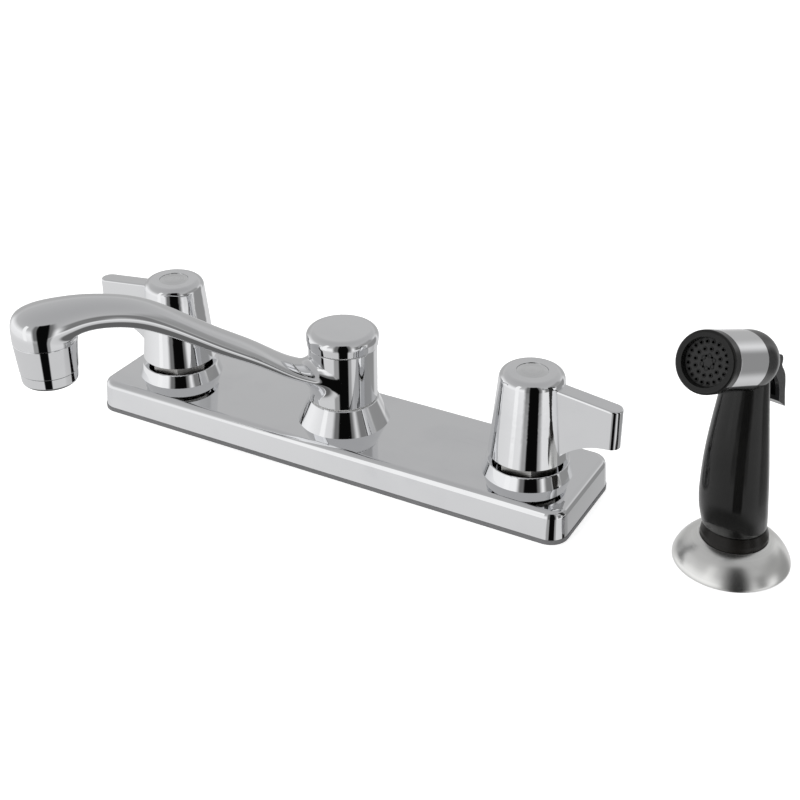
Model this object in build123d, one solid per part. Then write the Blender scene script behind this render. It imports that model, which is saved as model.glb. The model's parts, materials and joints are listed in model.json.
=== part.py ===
"""Two handle kitchen faucet on a deck plate, with a swinging spout and a side sprayer in its holder.

Millimetres. The origin is the middle of the plate's seat on the sink deck, under the spout. +X runs along the plate
to the cold valve and the sprayer, -Y points to the user and +Z is up. What passes through the deck is below z = 0.
The rest pose is the one that the faucet is shown in: both levers closed and pointing outwards, the spout swung to
the front left, the sprayer standing in its holder.
"""

from build123d import *
import math
import os

# ------------------------------------------------------------------ driving sizes: deck plate and hole pattern
VALVE_SPACING = 203.2        # hot axis to cold axis, the 8 inch pattern
SPRAY_SPACING = 203.2        # spout axis to sprayer axis: the fourth hole is 4 inches past the cold one
GASKET_THICKNESS = 2.2
GASKET_LIP = 0.25            # how far the gasket shows past the plate's foot
PLATE_LENGTH = 266.0
PLATE_WIDTH = 63.6
PLATE_HEIGHT = 14.2          # from the gasket to the flat top
PLATE_CORNER = 9.0
PLATE_EDGE = 3.4             # round along the top edge
PLATE_WALL = 2.0
PLATE_DRAFT = 4.0            # degrees of lean on the sides
COLLAR_RADIUS = 19.8         # at the collar's top
COLLAR_FLARE = 2.1           # how much wider it stands on the plate
COLLAR_HEIGHT = 6.6          # above the flat top
CONE_FOOT = 23.2
CONE_HEIGHT = 12.2           # above the flat top
DECK_THICKNESS = 18.0        # the deck that the nuts are shown clamping

# ------------------------------------------------------------------ driving sizes: valves and handles
SHANK_RADIUS = 10.4          # half inch straight pipe thread
SHANK_BORE = 7.6
SHANK_LENGTH = 45.0          # below the deck seat
WING_NUT_HEIGHT = 13.0
GROOVE_DEPTH = 0.5           # run-out groove between the nut's thread and the free end of a shank
GROOVE_WIDTH = 0.7
BODY_RADIUS = 13.2
SPIGOT_RADIUS = 11.9
CARTRIDGE_RADIUS = 9.7
STEM_RADIUS = 5.0
STEM_SQUARE = 7.6
DISC_THICKNESS = 2.5
NUT_RADIUS = 15.2            # across the corners of the bonnet nut
HANDLE_RIM = 19.2
HANDLE_TOP = 15.1
HANDLE_GAP = 3.6             # open gap between collar and handle
HANDLE_HEIGHT = 42.9         # from the rim to the flat top
HANDLE_SHOULDER = 4.0
HANDLE_WALL = 2.2
FIN_REACH = 45.7             # from the axis to the tip
LEVER_REST = 3.0             # degrees that a closed lever stands forward of straight out
FIN_THICKNESS = 8.8
FIN_TIP_HEIGHT = 19.5
BUTTON_RADIUS = 7.4
BUTTON_THICKNESS = 1.5

# ------------------------------------------------------------------ driving sizes: spout
SPOUT_SWING = 50.0           # degrees from straight left towards the user, as shown
SPOUT_REACH = 141.3          # spout axis to outlet axis
SLEEVE_WALL = 4.82           # from the post's running fit to the outside of the sleeve
SLEEVE_HEIGHT = 28.2
POST_RADIUS = 12.2
POST_BORE = 7.2
POST_SHOULDER = 2.4          # how much wider the post is inside the cone
CAP_LIP = 1.1                # how far the cap stands out past the sleeve
CAP_HEIGHT = 8.0
CAP_SHOULDER = 4.0
ROOT_HEIGHT = 13.4           # tube's centre line above the sleeve's foot
OUTLET_FACE = 87.0           # height of the hood's lower face
HOOD_RADIUS = 14.7
HOOD_RISE = 17.3             # from the hood's lower face to the top of the arch
SHELL_HEIGHT = 15.0
SHELL_FOOT = 13.3
AERATOR_HEIGHT = 6.0
AERATOR_FOOT = 12.7

# ------------------------------------------------------------------ driving sizes: sprayer
SPRAY_TURN = 11.0            # degrees that the sprayer is turned in its holder, as shown
FLANGE_RADIUS = 26.4
FLANGE_HEIGHT = 7.6
HOLDER_RADIUS = 15.1
HOLDER_HEIGHT = 11.4         # cup above the flange
HOLDER_SHANK = 14.2
HOLDER_DEPTH = 38.0
HOLDER_NUT_HEIGHT = 9.0
WAND_TAIL = 10.4
WAND_TAIL_LENGTH = 22.0
NECK_SHIFT = 9.6             # how far the neck stands forward of the holder's axis
HEAD_TILT = 21.0             # degrees that the spray face looks up
HEAD_HEIGHT = 105.4          # where the head's axis crosses the neck
HEAD_RADIUS = 12.7
HEAD_FORWARD = 43.2          # from the neck to the spray face, along the head's axis
HEAD_BACK = 15.0             # from the neck to the back of the housing, along the same axis
COLLAR_LENGTH = 27.0
BEZEL_LENGTH = 6.0
FACE_RADIUS = 9.5           # open part of the bezel
FACE_DEPTH = 2.8             # how deep the spray face sits in the bezel
TRIGGER_WIDTH = 13.0
TRIGGER_WALL = 1.8
PIN_BACK = 5.0               # trigger pin behind the holder's axis
PIN_HEIGHT = 99.3
PIN_RADIUS = 1.2
KNUCKLE_RADIUS = 4.4         # rounded top of the trigger round its pin
VALVE_HEIGHT = 88.0          # level of the spray valve in the neck
VALVE_RADIUS = 4.2
VALVE_SEAT = 8.0             # forward of the holder's axis
PLUNGER_RADIUS = 1.9
PLUNGER_END = 9.0            # plunger's free end, behind the holder's axis
VALVE_TRAVEL = 2.5           # how far the plunger can open the valve

# ------------------------------------------------------------------ fits
RUN_FIT = 0.08               # radial clearance where one piece turns in another
SLIDE_FIT = 0.05             # radial clearance of a sliding plunger
SET_FIT = 0.1                # clearance between pieces that don't move on each other
LOOSE_FIT = 0.4              # the wand's tail in its holder
HOLE_FIT = 0.4               # a shank in the plate, gasket or flange
FACE_GAP = 0.05              # between flat faces that turn on each other

# ------------------------------------------------------------------ sizes and levels that follow from them
SLEEVE_RADIUS = POST_RADIUS + RUN_FIT + SLEEVE_WALL
CAP_RADIUS = SLEEVE_RADIUS + CAP_LIP
PLATE_FOOT = GASKET_THICKNESS
PLATE_TOP = PLATE_FOOT + PLATE_HEIGHT
PLATE_CEILING = PLATE_TOP - PLATE_WALL - 0.2
COLLAR_TOP = PLATE_TOP + COLLAR_HEIGHT
CONE_TOP = PLATE_TOP + CONE_HEIGHT
HANDLE_FOOT = COLLAR_TOP + HANDLE_GAP
HANDLE_FLAT = HANDLE_FOOT + HANDLE_HEIGHT
TUBE_RADIUS = 3.6
WATER_RADIUS = 2.9
TUBE_LEVEL = PLATE_CEILING - TUBE_RADIUS - 0.6
DIVERTER_SEAT = TUBE_LEVEL + TUBE_RADIUS + 3.6
SEAT_LEVEL = PLATE_FOOT + 1.2
DISC_FOOT = SEAT_LEVEL + 1.3
CHAMBER_FOOT = DISC_FOOT + 2 * DISC_THICKNESS
SPIGOT_TOP = COLLAR_TOP + 4.5
CARTRIDGE_FLANGE = 1.5
NUT_TOP = SPIGOT_TOP + CARTRIDGE_FLANGE + 2.5
STEM_TOP = HANDLE_FLAT - 12.6
SLEEVE_FOOT = CONE_TOP + 0.6
SLEEVE_TOP = SLEEVE_FOOT + SLEEVE_HEIGHT
CAP_FOOT = SLEEVE_TOP + 0.6
POST_TOP = CAP_FOOT + 5.6
SHELL_LEVEL = OUTLET_FACE - SHELL_HEIGHT
AERATOR_LEVEL = SHELL_LEVEL - AERATOR_HEIGHT
HOLDER_TOP = FLANGE_HEIGHT + HOLDER_HEIGHT
HOLDER_BORE = WAND_TAIL + LOOSE_FIT
WING_NUT_FOOT = -DECK_THICKNESS - WING_NUT_HEIGHT
HOLDER_NUT_FOOT = -DECK_THICKNESS - HOLDER_NUT_HEIGHT

HOT_X = -VALVE_SPACING / 2
COLD_X = VALVE_SPACING / 2


# ------------------------------------------------------------------ helpers
def turned(outline, rounds=()):
    """A turned solid from an outline of (radius, height) points; rounds lists (point number, radius)."""
    face = make_face(Polyline(*outline, close=True))
    for number, radius in rounds:
        corner = face.vertices().sort_by_distance(Vector(*outline[number]))[0]
        face = fillet(corner, radius)
    return revolve(Plane.XZ * face, Axis.Z)


def ring(outer, inner, low, high):
    """A plain ring about Z."""
    return turned([(inner, low), (outer, low), (outer, high), (inner, high)])


def rod(radius, low, high):
    """A plain cylinder about Z."""
    return Pos(0, 0, low) * Cylinder(radius, high - low, align=(Align.CENTER, Align.CENTER, Align.MIN))


def cross_rod(radius, start, end, level):
    """A plain cylinder along X."""
    bar = Cylinder(radius, end - start, align=(Align.CENTER, Align.CENTER, Align.MIN))
    return Pos(start, 0, level) * Rot(0, 90, 0) * bar


def hexagon(corner_radius, low, high):
    """A hexagonal prism about Z."""
    return Pos(0, 0, low) * extrude(RegularPolygon(corner_radius, 6), high - low)


def smooth(knots, values, at):
    """A smooth curve through (knot, value) points, read at one place."""
    slopes = [(high - low) / (right - left) for low, high, left, right in zip(values, values[1:], knots, knots[1:])]
    leans = [slopes[0]]
    for index in range(1, len(slopes)):
        before = knots[index] - knots[index - 1]
        after = knots[index + 1] - knots[index]
        leans.append((slopes[index - 1] * after + slopes[index] * before) / (before + after))
    leans.append(slopes[-1])
    index = 0
    while index < len(slopes) - 1 and at > knots[index + 1]:
        index += 1
    span = knots[index + 1] - knots[index]
    part = (at - knots[index]) / span
    start = values[index] * (1 + 2 * part) * (1 - part) ** 2 + leans[index] * span * part * (1 - part) ** 2
    end = values[index + 1] * part ** 2 * (3 - 2 * part) - leans[index + 1] * span * part ** 2 * (1 - part)
    return start + end


def flowing(stations, count, joins=()):
    """A smooth solid through stations (x and z of one edge, x and z of the other edge, width across Y).

    The two edges and the width become smooth curves, and ovals at close steps follow all three. A solid that turns a
    long way is lofted in lengths, which meet at the ovals that joins lists.
    """
    knots = [0.0]
    for last, here in zip(stations, stations[1:]):
        knots.append(knots[-1] + math.dist(last[0:2], here[0:2]) + math.dist(last[2:4], here[2:4]))
    ovals = []
    for step in range(count + 1):
        at = knots[-1] * step / count
        low_x, low_z, high_x, high_z, width = [smooth(knots, column, at) for column in zip(*stations)]
        across = math.dist((low_x, low_z), (high_x, high_z))
        normal = ((high_z - low_z) / across, 0, (low_x - high_x) / across)
        place = Plane(origin=((low_x + high_x) / 2, 0, (low_z + high_z) / 2), x_dir=(0, 1, 0), z_dir=normal)
        ovals.append(place * Ellipse(width / 2, across / 2))
    ends = [0, *joins, count]
    lengths = [loft(ovals[first:last + 1]) for first, last in zip(ends, ends[1:])]
    return sum(lengths[1:], lengths[0])


def around(solid, count, radius):
    """Copies of a solid at even angles on a circle about Z."""
    return [Rot(0, 0, 360 * step / count) * Pos(radius, 0, 0) * solid for step in range(count)]


def save(name, solid):
    """Write one piece and say how big it is."""
    solid.label = name
    export_step(solid, f"parts/{name}.step")
    print(f"{name}: {solid.volume:.0f} mm3")


# ------------------------------------------------------------------ deck plate and gasket
def plate_outline(inset):
    """The plate's outline, drawn in by an inset."""
    return RectangleRounded(PLATE_LENGTH - 2 * inset, PLATE_WIDTH - 2 * inset, PLATE_CORNER - inset)


def base_gasket():
    """Flat rubber sheet under the plate, open round both shanks and the spray nipple."""
    sheet = extrude(plate_outline(-GASKET_LIP), GASKET_THICKNESS)
    for x in (HOT_X, 0, COLD_X):
        sheet -= Pos(x, 0, 0) * rod(SHANK_RADIUS + HOLE_FIT, -1, GASKET_THICKNESS + 1)
    return sheet


def collar_shell():
    """Outside of the low cone that a handle stands over."""
    foot = COLLAR_RADIUS + COLLAR_FLARE
    hidden = COLLAR_FLARE / COLLAR_HEIGHT
    return turned(
        [(0, PLATE_TOP - 1), (foot + hidden, PLATE_TOP - 1), (COLLAR_RADIUS, COLLAR_TOP), (0, COLLAR_TOP)],
        rounds=((2, 0.6),))


def cone_shell():
    """Outside of the cone that carries the spout."""
    neck = SLEEVE_RADIUS + 0.5
    hidden = (CONE_FOOT - neck) / CONE_HEIGHT
    return turned(
        [(0, PLATE_TOP - 1), (CONE_FOOT + hidden, PLATE_TOP - 1), (neck, CONE_TOP), (0, CONE_TOP)],
        rounds=((2, 0.5),))


def deck_plate():
    """Plated cover: a thin shell with drafted sides, two collars and the spout's cone."""
    block = Pos(0, 0, PLATE_FOOT) * extrude(plate_outline(0), PLATE_HEIGHT, taper=PLATE_DRAFT)
    rim = block.edges().group_by(Axis.Z)[-1]
    shell = fillet(rim, PLATE_EDGE)
    shell += cone_shell()
    for x in (HOT_X, COLD_X):
        shell += Pos(x, 0, 0) * collar_shell()
    room = PLATE_CEILING - PLATE_FOOT
    hollow = extrude(plate_outline(PLATE_WALL), room + 1, taper=PLATE_DRAFT)
    shell -= Pos(0, 0, PLATE_FOOT - 1) * hollow
    for x in (HOT_X, COLD_X):
        collar_room = rod(COLLAR_RADIUS - PLATE_WALL, PLATE_CEILING - 1, COLLAR_TOP - PLATE_WALL)
        shell -= Pos(x, 0, 0) * (collar_room + rod(SPIGOT_RADIUS + HOLE_FIT, PLATE_CEILING, COLLAR_TOP + 1))
    shell -= rod(POST_RADIUS + POST_SHOULDER + 0.5, PLATE_CEILING - 1, CONE_TOP - PLATE_WALL)
    shell -= rod(POST_RADIUS + HOLE_FIT, PLATE_CEILING, CONE_TOP + 1)
    return shell


# ------------------------------------------------------------------ valve under each handle
def valve_body():
    """Brass body: threaded shank through the deck, foot on the gasket, spigot up through the collar."""
    groove = WING_NUT_FOOT - 0.2
    neck = SHANK_RADIUS - GROOVE_DEPTH
    body = turned(
        [(SHANK_BORE, -SHANK_LENGTH), (SHANK_RADIUS, -SHANK_LENGTH), (SHANK_RADIUS, groove - GROOVE_WIDTH),
         (neck, groove - GROOVE_WIDTH), (neck, groove), (SHANK_RADIUS, groove), (SHANK_RADIUS, PLATE_FOOT),
         (BODY_RADIUS + 2.8, PLATE_FOOT), (BODY_RADIUS + 2.8, PLATE_FOOT + 2.6), (BODY_RADIUS, PLATE_FOOT + 2.6),
         (BODY_RADIUS, COLLAR_TOP - PLATE_WALL - 1.6), (SPIGOT_RADIUS, COLLAR_TOP - PLATE_WALL - 1.6),
         (SPIGOT_RADIUS, SPIGOT_TOP), (CARTRIDGE_RADIUS + SET_FIT, SPIGOT_TOP),
         (CARTRIDGE_RADIUS + SET_FIT, SEAT_LEVEL), (SHANK_BORE, SEAT_LEVEL)],
        rounds=((1, 1.2), (8, 0.8)))
    port = cross_rod(TUBE_RADIUS + SET_FIT, 0, BODY_RADIUS + 1, TUBE_LEVEL)
    return body - port


def seat_seal():
    """Rubber ring that the cartridge is pressed down on."""
    return turned(
        [(SHANK_BORE + 0.2, SEAT_LEVEL), (CARTRIDGE_RADIUS - 0.1, SEAT_LEVEL), (CARTRIDGE_RADIUS - 0.1, DISC_FOOT),
         (SHANK_BORE + 0.2, DISC_FOOT)],
        rounds=((1, 0.4), (2, 0.4)))


def ported_disc(low):
    """Polished ceramic disc with two fan-shaped ports."""
    radius = CARTRIDGE_RADIUS - 1.3
    disc = rod(radius, low, low + DISC_THICKNESS)
    fan = make_face([
        Line((1.2, 0.8), (radius - 1.8, 1.6)),
        ThreePointArc((radius - 1.8, 1.6), ((radius - 1.5) * math.cos(0.8), (radius - 1.5) * math.sin(0.8)),
                      (1.6, radius - 1.8)),
        Line((1.6, radius - 1.8), (0.8, 1.2)),
        Line((0.8, 1.2), (1.2, 0.8))])
    port = Pos(0, 0, low - 1) * extrude(fan, DISC_THICKNESS + 2)
    return disc - port - Rot(0, 0, 180) * port


def cartridge():
    """Cartridge case: open below round the discs, windows to the body's gallery, long neck round the stem."""
    roof = SPIGOT_TOP - 4.0
    neck = STEM_RADIUS + 2.9
    case = turned(
        [(CARTRIDGE_RADIUS - 1.2, DISC_FOOT), (CARTRIDGE_RADIUS, DISC_FOOT), (CARTRIDGE_RADIUS, SPIGOT_TOP),
         (SPIGOT_RADIUS - 0.6, SPIGOT_TOP), (SPIGOT_RADIUS - 0.6, SPIGOT_TOP + CARTRIDGE_FLANGE),
         (neck, SPIGOT_TOP + CARTRIDGE_FLANGE), (neck, NUT_TOP + 4), (STEM_RADIUS + RUN_FIT, NUT_TOP + 4),
         (STEM_RADIUS + RUN_FIT, roof), (CARTRIDGE_RADIUS - 1.2, roof)])
    window = Box(CARTRIDGE_RADIUS * 2.5, 5.0, 3.6, align=(Align.CENTER, Align.CENTER, Align.MIN))
    for angle in (0, 90):
        case -= Rot(0, 0, angle) * Pos(0, 0, CHAMBER_FOOT + 0.4) * window
    return case


def valve_stem():
    """Brass stem: driver that turns the upper disc, round shaft in the cartridge neck, square for the handle."""
    disc_top = DISC_FOOT + 2 * DISC_THICKNESS + FACE_GAP
    driver = rod(STEM_RADIUS + 2.2, disc_top, disc_top + 3.0)
    shaft = rod(STEM_RADIUS, disc_top + 3.0, NUT_TOP + 4.5)
    square = extrude(Rectangle(STEM_SQUARE, STEM_SQUARE), STEM_TOP - NUT_TOP - 4.5)
    stem = driver + shaft + Pos(0, 0, NUT_TOP + 4.5) * square
    return stem - rod(2.1, STEM_TOP - 12, STEM_TOP + 1)


def bonnet_nut():
    """Hexagonal nut that holds the cartridge down and clamps the plate's collar."""
    nut = hexagon(NUT_RADIUS, COLLAR_TOP, NUT_TOP) & turned(
        [(0, COLLAR_TOP), (NUT_RADIUS + 0.2, COLLAR_TOP), (NUT_RADIUS + 0.2, NUT_TOP - 1.2),
         (NUT_RADIUS - 2.0, NUT_TOP), (0, NUT_TOP)])
    nut -= rod(SPIGOT_RADIUS + SET_FIT, COLLAR_TOP - 1, SPIGOT_TOP + CARTRIDGE_FLANGE)
    return nut - rod(STEM_RADIUS + 3.2, COLLAR_TOP, NUT_TOP + 1)


def mounting_nut():
    """Wing nut run up the shank from below, with a round flange against the deck."""
    top = -DECK_THICKNESS
    flange = ring(21.0, SHANK_RADIUS + SET_FIT, top - 3.0, top)
    hub = ring(14.5, SHANK_RADIUS + SET_FIT, WING_NUT_FOOT, top - 3.0)
    wing = Pos(0, 0, WING_NUT_FOOT) * Box(
        7.5, 3.2, WING_NUT_HEIGHT - 3.0, align=(Align.CENTER, Align.CENTER, Align.MIN))
    nut = flange + hub
    for blade in around(wing, 4, 17.0):
        nut += blade
    return nut


# ------------------------------------------------------------------ handle
def handle_fin():
    """Flat blade: full round tip in plan, sloping top, underside that sweeps up from the rim to the tip."""
    reach = FIN_REACH
    half = FIN_THICKNESS / 2
    plan = Pos((reach - half) / 2, 0) * Rectangle(reach - half, FIN_THICKNESS) + Pos(reach - half, 0) * Circle(half)
    blade = Pos(0, 0, HANDLE_FOOT) * extrude(plan, HANDLE_HEIGHT)
    top_root = HANDLE_FLAT - 3.9
    top_tip = HANDLE_FLAT - 7.6
    low_tip = top_tip - FIN_TIP_HEIGHT
    low_root = HANDLE_FOOT + 3.4
    under = Spline((HANDLE_RIM - 2.0, low_root), (HANDLE_RIM + 5.8, low_tip - 5.6),
                   (HANDLE_RIM + 14.0, low_tip - 1.7), (reach + 1, low_tip))
    side = make_face([
        under,
        Polyline((reach + 1, low_tip), (reach + 1, top_tip), (2, top_root + 0.4), (2, low_root),
                 (HANDLE_RIM - 2.0, low_root))])
    blade &= extrude(Plane.XZ * side, FIN_THICKNESS, both=True)
    upper = blade.edges().filter_by(lambda edge: edge.center().Z > top_tip - 1.5 and edge.center().X > 6)
    return fillet(upper, 1.0)


def handle():
    """Plated handle: bell-shaped skirt over the bonnet, one fin, square socket and a recess for the button."""
    flank = Spline((HANDLE_RIM, HANDLE_FOOT), (HANDLE_RIM - 0.8, HANDLE_FOOT + 0.18 * HANDLE_HEIGHT),
                   (HANDLE_RIM - 2.5, HANDLE_FOOT + 0.6 * HANDLE_HEIGHT), (HANDLE_TOP, HANDLE_FLAT))
    frame = Polyline((HANDLE_TOP, HANDLE_FLAT), (0, HANDLE_FLAT), (0, HANDLE_FOOT), (HANDLE_RIM, HANDLE_FOOT))
    face = make_face([flank, frame])
    shoulder = face.vertices().sort_by_distance(Vector(HANDLE_TOP, HANDLE_FLAT))[0]
    bell = revolve(Plane.XZ * fillet(shoulder, HANDLE_SHOULDER), Axis.Z)
    body = bell + handle_fin()
    web_foot = STEM_TOP + 0.3
    skirt_roof = NUT_TOP + 7.0
    skirt = turned(
        [(0, HANDLE_FOOT - 1), (HANDLE_RIM - HANDLE_WALL, HANDLE_FOOT - 1), (HANDLE_RIM - HANDLE_WALL, HANDLE_FOOT),
         (HANDLE_RIM - HANDLE_WALL - 1.6, skirt_roof), (0, skirt_roof)])
    socket = Pos(0, 0, skirt_roof - 1) * extrude(
        Rectangle(STEM_SQUARE + 2 * SET_FIT, STEM_SQUARE + 2 * SET_FIT), web_foot - skirt_roof + 1)
    screw_way = rod(2.3, web_foot - 1, HANDLE_FLAT)
    head_way = rod(4.4, web_foot + 4.0, HANDLE_FLAT)
    recess = rod(BUTTON_RADIUS + SET_FIT, HANDLE_FLAT - BUTTON_THICKNESS + 0.3, HANDLE_FLAT + 1)
    return body - skirt - socket - screw_way - head_way - recess


def handle_screw():
    """Screw from the handle's top into the stem."""
    seat = STEM_TOP + 4.3
    screw = rod(2.0, STEM_TOP - 10, seat) + rod(4.0, seat, seat + 2.6)
    slot = Pos(0, 0, seat + 1.6) * Box(9, 1.0, 1.2, align=(Align.CENTER, Align.CENTER, Align.MIN))
    return screw - slot


def index_button():
    """Low domed button with a plug underneath, pressed into the handle's top over the screw."""
    low = HANDLE_FLAT - BUTTON_THICKNESS + 0.3
    high = low + BUTTON_THICKNESS
    dome = ThreePointArc((0, high), (BUTTON_RADIUS * 0.5, high - 0.12), (BUTTON_RADIUS, high - 0.5))
    rest = Polyline((BUTTON_RADIUS, high - 0.5), (BUTTON_RADIUS, low), (4.0, low), (4.0, low - 1.2), (0, low - 1.2),
                    (0, high))
    return revolve(Plane.XZ * make_face([dome, rest]), Axis.Z)


# ------------------------------------------------------------------ water ways and spout post
def waterway_tube():
    """Copper tube from the cold valve body to the spout post; the hot one is its mirror image."""
    start = POST_RADIUS + 0.6
    end = COLD_X - BODY_RADIUS + 1.2
    bore = cross_rod(TUBE_RADIUS - 0.8, start - 1, end + 1, TUBE_LEVEL)
    return cross_rod(TUBE_RADIUS, start, end, TUBE_LEVEL) - bore


def spout_post():
    """Brass post: spray nipple below, mixing chamber, grooved post with side ports, thread for the cap."""
    base = POST_RADIUS + POST_SHOULDER
    groove = POST_RADIUS - 1.8
    low_groove = SLEEVE_FOOT + 4.0
    high_groove = SLEEVE_TOP - 6.2
    post = turned(
        [(4.2, -24), (6.6, -24), (6.6, PLATE_FOOT), (base + 1.8, PLATE_FOOT), (base + 1.8, PLATE_FOOT + 2.6),
         (base, PLATE_FOOT + 2.6), (base, CONE_TOP - PLATE_WALL - 1.4), (POST_RADIUS, CONE_TOP - PLATE_WALL - 1.4),
         (POST_RADIUS, low_groove), (groove, low_groove), (groove, low_groove + 2.2),
         (POST_RADIUS, low_groove + 2.2), (POST_RADIUS, high_groove), (groove, high_groove),
         (groove, high_groove + 2.2), (POST_RADIUS, high_groove + 2.2), (POST_RADIUS, CAP_FOOT - 0.6),
         (POST_RADIUS - 0.8, CAP_FOOT - 0.6), (POST_RADIUS - 0.8, POST_TOP), (0, POST_TOP), (0, POST_TOP - 4),
         (POST_BORE, POST_TOP - 4), (POST_BORE, DIVERTER_SEAT), (POST_BORE - 1.6, DIVERTER_SEAT),
         (POST_BORE - 1.6, DIVERTER_SEAT - 1.2),
         (POST_BORE, DIVERTER_SEAT - 2.4), (POST_BORE, PLATE_FOOT + 3.2), (4.2, PLATE_FOOT + 1.6)])
    for end in (-base - 1, 0):
        post -= cross_rod(TUBE_RADIUS + SET_FIT, end, end + base + 1, TUBE_LEVEL)
    port = Pos(0, 0, SLEEVE_FOOT + ROOT_HEIGHT) * Rot(0, 90, 0) * Cylinder(3.0, 2 * POST_RADIUS + 2)
    return post - port - Rot(0, 0, 90) * port


def spray_diverter():
    """Plastic cup that lifts off its seat in the post when the sprayer draws water."""
    low = DIVERTER_SEAT
    outer = POST_BORE - SLIDE_FIT
    cup = turned(
        [(0, low), (outer, low), (outer, low + 9), (outer - 1.5, low + 9), (outer - 1.5, low + 2), (0, low + 2)],
        rounds=((2, 0.5),))
    return cup - rod(1.2, low - 1, low + 3)


def spout_seal_rings():
    """The two rubber rings between post and sleeve."""
    middle = POST_RADIUS - 0.86
    rings = []
    for level in (SLEEVE_FOOT + 5.1, SLEEVE_TOP - 5.1):
        rings.append(Pos(0, 0, level) * Torus(middle, 0.9))
    return Compound(children=rings)


def spout_washers():
    """Slippery washers below and above the turning sleeve."""
    inner = POST_RADIUS + 0.15
    outer = SLEEVE_RADIUS - 0.5
    below = ring(outer, inner, CONE_TOP, SLEEVE_FOOT - FACE_GAP)
    above = ring(outer, inner, SLEEVE_TOP + FACE_GAP, CAP_FOOT)
    return Compound(children=[below, above])


def spout_cap():
    """Plated cap nut: soft shoulder, side drawn in a little towards the sleeve, thread for the post."""
    top = CAP_FOOT + CAP_HEIGHT
    cap = turned(
        [(0, CAP_FOOT), (CAP_RADIUS - 0.6, CAP_FOOT), (CAP_RADIUS + 0.4, top), (0, top)],
        rounds=((2, CAP_SHOULDER), (1, 0.3)))
    return cap - rod(POST_RADIUS - 0.8 + SET_FIT, CAP_FOOT - 1, POST_TOP + 0.1)


# ------------------------------------------------------------------ spout, drawn pointing along +X
def spout_stations():
    """Underside point, upper side point and width of the tube, from inside the sleeve to just past the outlet."""
    root = SLEEVE_FOOT + ROOT_HEIGHT
    rise = OUTLET_FACE + 8.0 - root
    reach = SPOUT_REACH
    back = reach - HOOD_RADIUS
    round_width = 2 * HOOD_RADIUS
    top = OUTLET_FACE + HOOD_RISE
    return [
        (0.076 * reach, root - 0.072 * rise, 0.051 * reach, root + 0.072 * rise, 26.5),
        (0.207 * reach, root + 0.067 * rise, 0.175 * reach, root + 0.212 * rise, 23.5),
        (0.328 * reach, root + 0.265 * rise, 0.294 * reach, root + 0.425 * rise, 21.0),
        (0.450 * reach, root + 0.430 * rise, 0.413 * reach, root + 0.609 * rise, 20.0),
        (0.572 * reach, root + 0.635 * rise, 0.532 * reach, root + 0.826 * rise, 19.6),
        (0.696 * reach, root + 0.807 * rise, 0.663 * reach, root + 1.048 * rise, 20.2),
        (back - 13.7, OUTLET_FACE + 0.3, 0.786 * reach, top - 1.8, 21.6),
        (back - 4.6, OUTLET_FACE + 0.1, 0.868 * reach, top - 0.1, 24.0),
        (back - 2.0, OUTLET_FACE - 0.6, back + 6.2, top - 0.2, 0.905 * round_width),
        (back - 0.5, OUTLET_FACE - 2.0, back + 0.71 * round_width, OUTLET_FACE + 0.83 * HOOD_RISE,
         0.97 * round_width),
        (back - 0.1, OUTLET_FACE - 3.4, back + 0.985 * round_width, OUTLET_FACE + 0.43 * HOOD_RISE,
         round_width),
        (back, OUTLET_FACE - 6.0, back + round_width, OUTLET_FACE - 3.0, round_width)]


def spout():
    """Sleeve, tapering tube and hood in one plated piece, with the water way through it."""
    stations = spout_stations()
    arm = flowing(stations, 50, joins=(31,))
    arm -= Pos(SPOUT_REACH - HOOD_RADIUS - 6, 0, OUTLET_FACE) * Box(
        60, 60, 20, align=(Align.MIN, Align.CENTER, Align.MAX))
    sleeve = rod(SLEEVE_RADIUS, SLEEVE_FOOT, SLEEVE_TOP)
    body = sleeve + arm
    body -= rod(POST_RADIUS + RUN_FIT, SLEEVE_FOOT - 1, SLEEVE_TOP + 1)
    chamber = SLEEVE_FOOT + ROOT_HEIGHT
    body -= rod(POST_RADIUS + 1.9, chamber - 4.5, chamber + 4.5)
    spigot = Pos(SPOUT_REACH, 0, 0) * rod(SHELL_FOOT - 2.4, SHELL_LEVEL + 4.5, OUTLET_FACE + 1)
    body += spigot
    middles = [((one[0] + one[2]) / 2, 0, (one[1] + one[3]) / 2) for one in stations[1:-2]]
    line = Spline(*middles)
    start = line.position_at(0)
    bore = WATER_RADIUS
    way = sweep(Plane(origin=start, z_dir=line.tangent_at(0)) * Circle(bore), path=line)
    body -= way
    inlet = Plane(origin=start, z_dir=-line.tangent_at(0)) * Circle(bore)
    body -= extrude(inlet, 0.19 * SPOUT_REACH - POST_RADIUS - 1)
    body -= Pos(SPOUT_REACH, 0, 0) * rod(SHELL_FOOT - 4.2, SHELL_LEVEL, OUTLET_FACE + 5)
    return body


def outlet_shell():
    """Plated tapering shell under the hood."""
    inner = SHELL_FOOT - 2.4 + SET_FIT
    shell = turned(
        [(inner, SHELL_LEVEL), (SHELL_FOOT, SHELL_LEVEL), (HOOD_RADIUS, OUTLET_FACE), (inner, OUTLET_FACE)],
        rounds=((1, 0.4), (2, 0.4)))
    return Pos(SPOUT_REACH, 0, 0) * shell


def aerator_ring():
    """Plated ring that screws up into the shell."""
    inner = AERATOR_FOOT - 2.6
    shell = turned(
        [(inner, AERATOR_LEVEL), (AERATOR_FOOT, AERATOR_LEVEL), (SHELL_FOOT - 0.1, SHELL_LEVEL),
         (SHELL_FOOT - 2.5, SHELL_LEVEL), (SHELL_FOOT - 2.5, SHELL_LEVEL + 4.0), (inner, SHELL_LEVEL + 4.0)],
        rounds=((1, 1.6),))
    return Pos(SPOUT_REACH, 0, 0) * shell


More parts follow.
